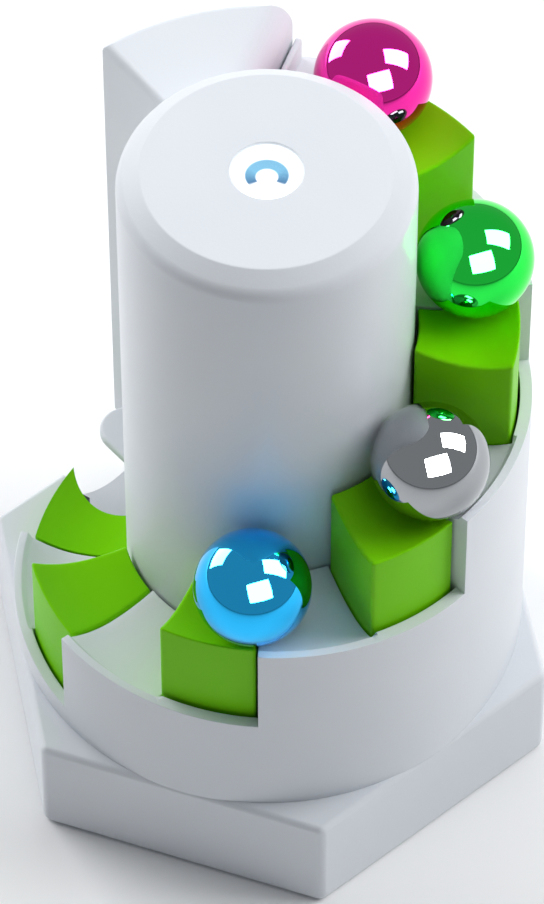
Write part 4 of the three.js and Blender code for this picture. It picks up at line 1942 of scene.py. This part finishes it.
@dataclass
class Studio:
    """Pale floor, soft light and the camera."""

    target: Vector = field(default_factory=lambda: Vector((0, 0, 32.87 * MM)))
    camera_place: Vector = field(default_factory=lambda: Vector((141.5, -393.2, 574.8)) * MM)
    camera_roll: float = -0.19
    lens: float = 247.7
    shift: tuple[float, float] = (0.0045, 0.0431)
    floor_size: float = 6.0
    sky: Tone = (0.085, 0.09, 0.1)
    mirror_sky: Tone = (0.40, 0.41, 0.42)

    def floor(self) -> None:
        """Plain pale floor just below the tile."""
        half = self.floor_size / 2
        drop = -0.05 * MM
        shape = bmesh.new()
        corners = [(-half, -half, drop), (half, -half, drop), (half, half, drop), (-half, half, drop)]
        shape.faces.new([shape.verts.new(c) for c in corners])
        floor = from_bmesh("studio_floor", shape)
        paint = MouldedPlastic(
            "studio_floor",
            light=(0.93, 0.935, 0.94),
            dark=(0.92, 0.925, 0.93),
            roughness=0.9,
            grain_depth=0.0,
        )
        floor.data.materials.append(paint.material())

    def world(self) -> None:
        """Even grey surroundings, paler where a mirror shows them."""
        world = bpy.data.worlds.new("studio_world")
        world.use_nodes = True
        tree = world.node_tree
        path = tree.nodes.new("ShaderNodeLightPath")
        mix = tree.nodes.new("ShaderNodeMix")
        mix.data_type = "RGBA"
        mix.inputs["A"].default_value = (*self.sky, 1.0)
        mix.inputs["B"].default_value = (*self.mirror_sky, 1.0)
        tree.links.new(path.outputs["Is Glossy Ray"], mix.inputs["Factor"])
        tree.links.new(mix.outputs["Result"], tree.nodes["Background"].inputs["Color"])
        bpy.context.scene.world = world

    def lights(self) -> None:
        """Four softboxes that light the plastic, with three bright cards for the marbles."""
        boxes = [
            Softbox("front_box", (0.459, -0.576, 0.677), 1.3, 1.2, 0.9, 0.12),
            Softbox("top_box", (0.1, 0.3, 1.0), 1.4, 1.4, 1.4, 1.7),
            Softbox("right_box", (0.74, 0.42, 0.6), 1.2, 0.7, 0.9, 4.7),
            Softbox("left_box", (-0.86, 0.303, 0.42), 1.2, 0.8, 0.8, 6.0),
            Softbox("front_card", (0.459, -0.576, 0.677), 1.0, 0.82, 0.66, 34.0, for_mirrors=True),
            Softbox("right_card", (0.567, 0.357, 0.743), 1.0, 0.5, 0.8, 34.0, for_mirrors=True),
            Softbox("left_card", (-0.892, 0.303, 0.33), 1.0, 0.5, 0.5, 26.0, for_mirrors=True),
        ]
        for box in boxes:
            box.build(self.target)

    def camera(self) -> None:
        """Long lens from the front right, well above the object."""
        data = bpy.data.cameras.new("camera")
        data.lens = self.lens
        data.sensor_width = 36.0
        data.shift_x, data.shift_y = self.shift
        data.clip_start, data.clip_end = 0.01, 20.0
        camera = bpy.data.objects.new("camera", data)
        camera.location = self.camera_place
        camera.rotation_mode = "QUATERNION"
        look = (self.target - self.camera_place).to_track_quat("-Z", "Y")
        roll = Matrix.Rotation(math.radians(self.camera_roll), 4, "Z").to_quaternion()
        camera.rotation_quaternion = look @ roll
        bpy.context.scene.collection.objects.link(camera)
        bpy.context.scene.camera = camera

    def build(self) -> None:
        """Makes the floor, the light and the camera."""
        bpy.context.scene.view_settings.view_transform = "Standard"
        self.floor()
        self.world()
        self.lights()
        self.camera()


# ---------------------------------------------------------------- order of work


def main() -> None:
    """Builds the studio and every piece."""
    logging.basicConfig(level=logging.INFO, format="%(name)s: %(message)s")
    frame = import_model()
    Studio().build()
    for part in (Tile(), Drum(), Tower(), Column(), Button(), StepBlocks(), Underside(), Marbles()):
        part.build()
    InnerParts().build(frame)


if __name__ == "__main__":
    main()
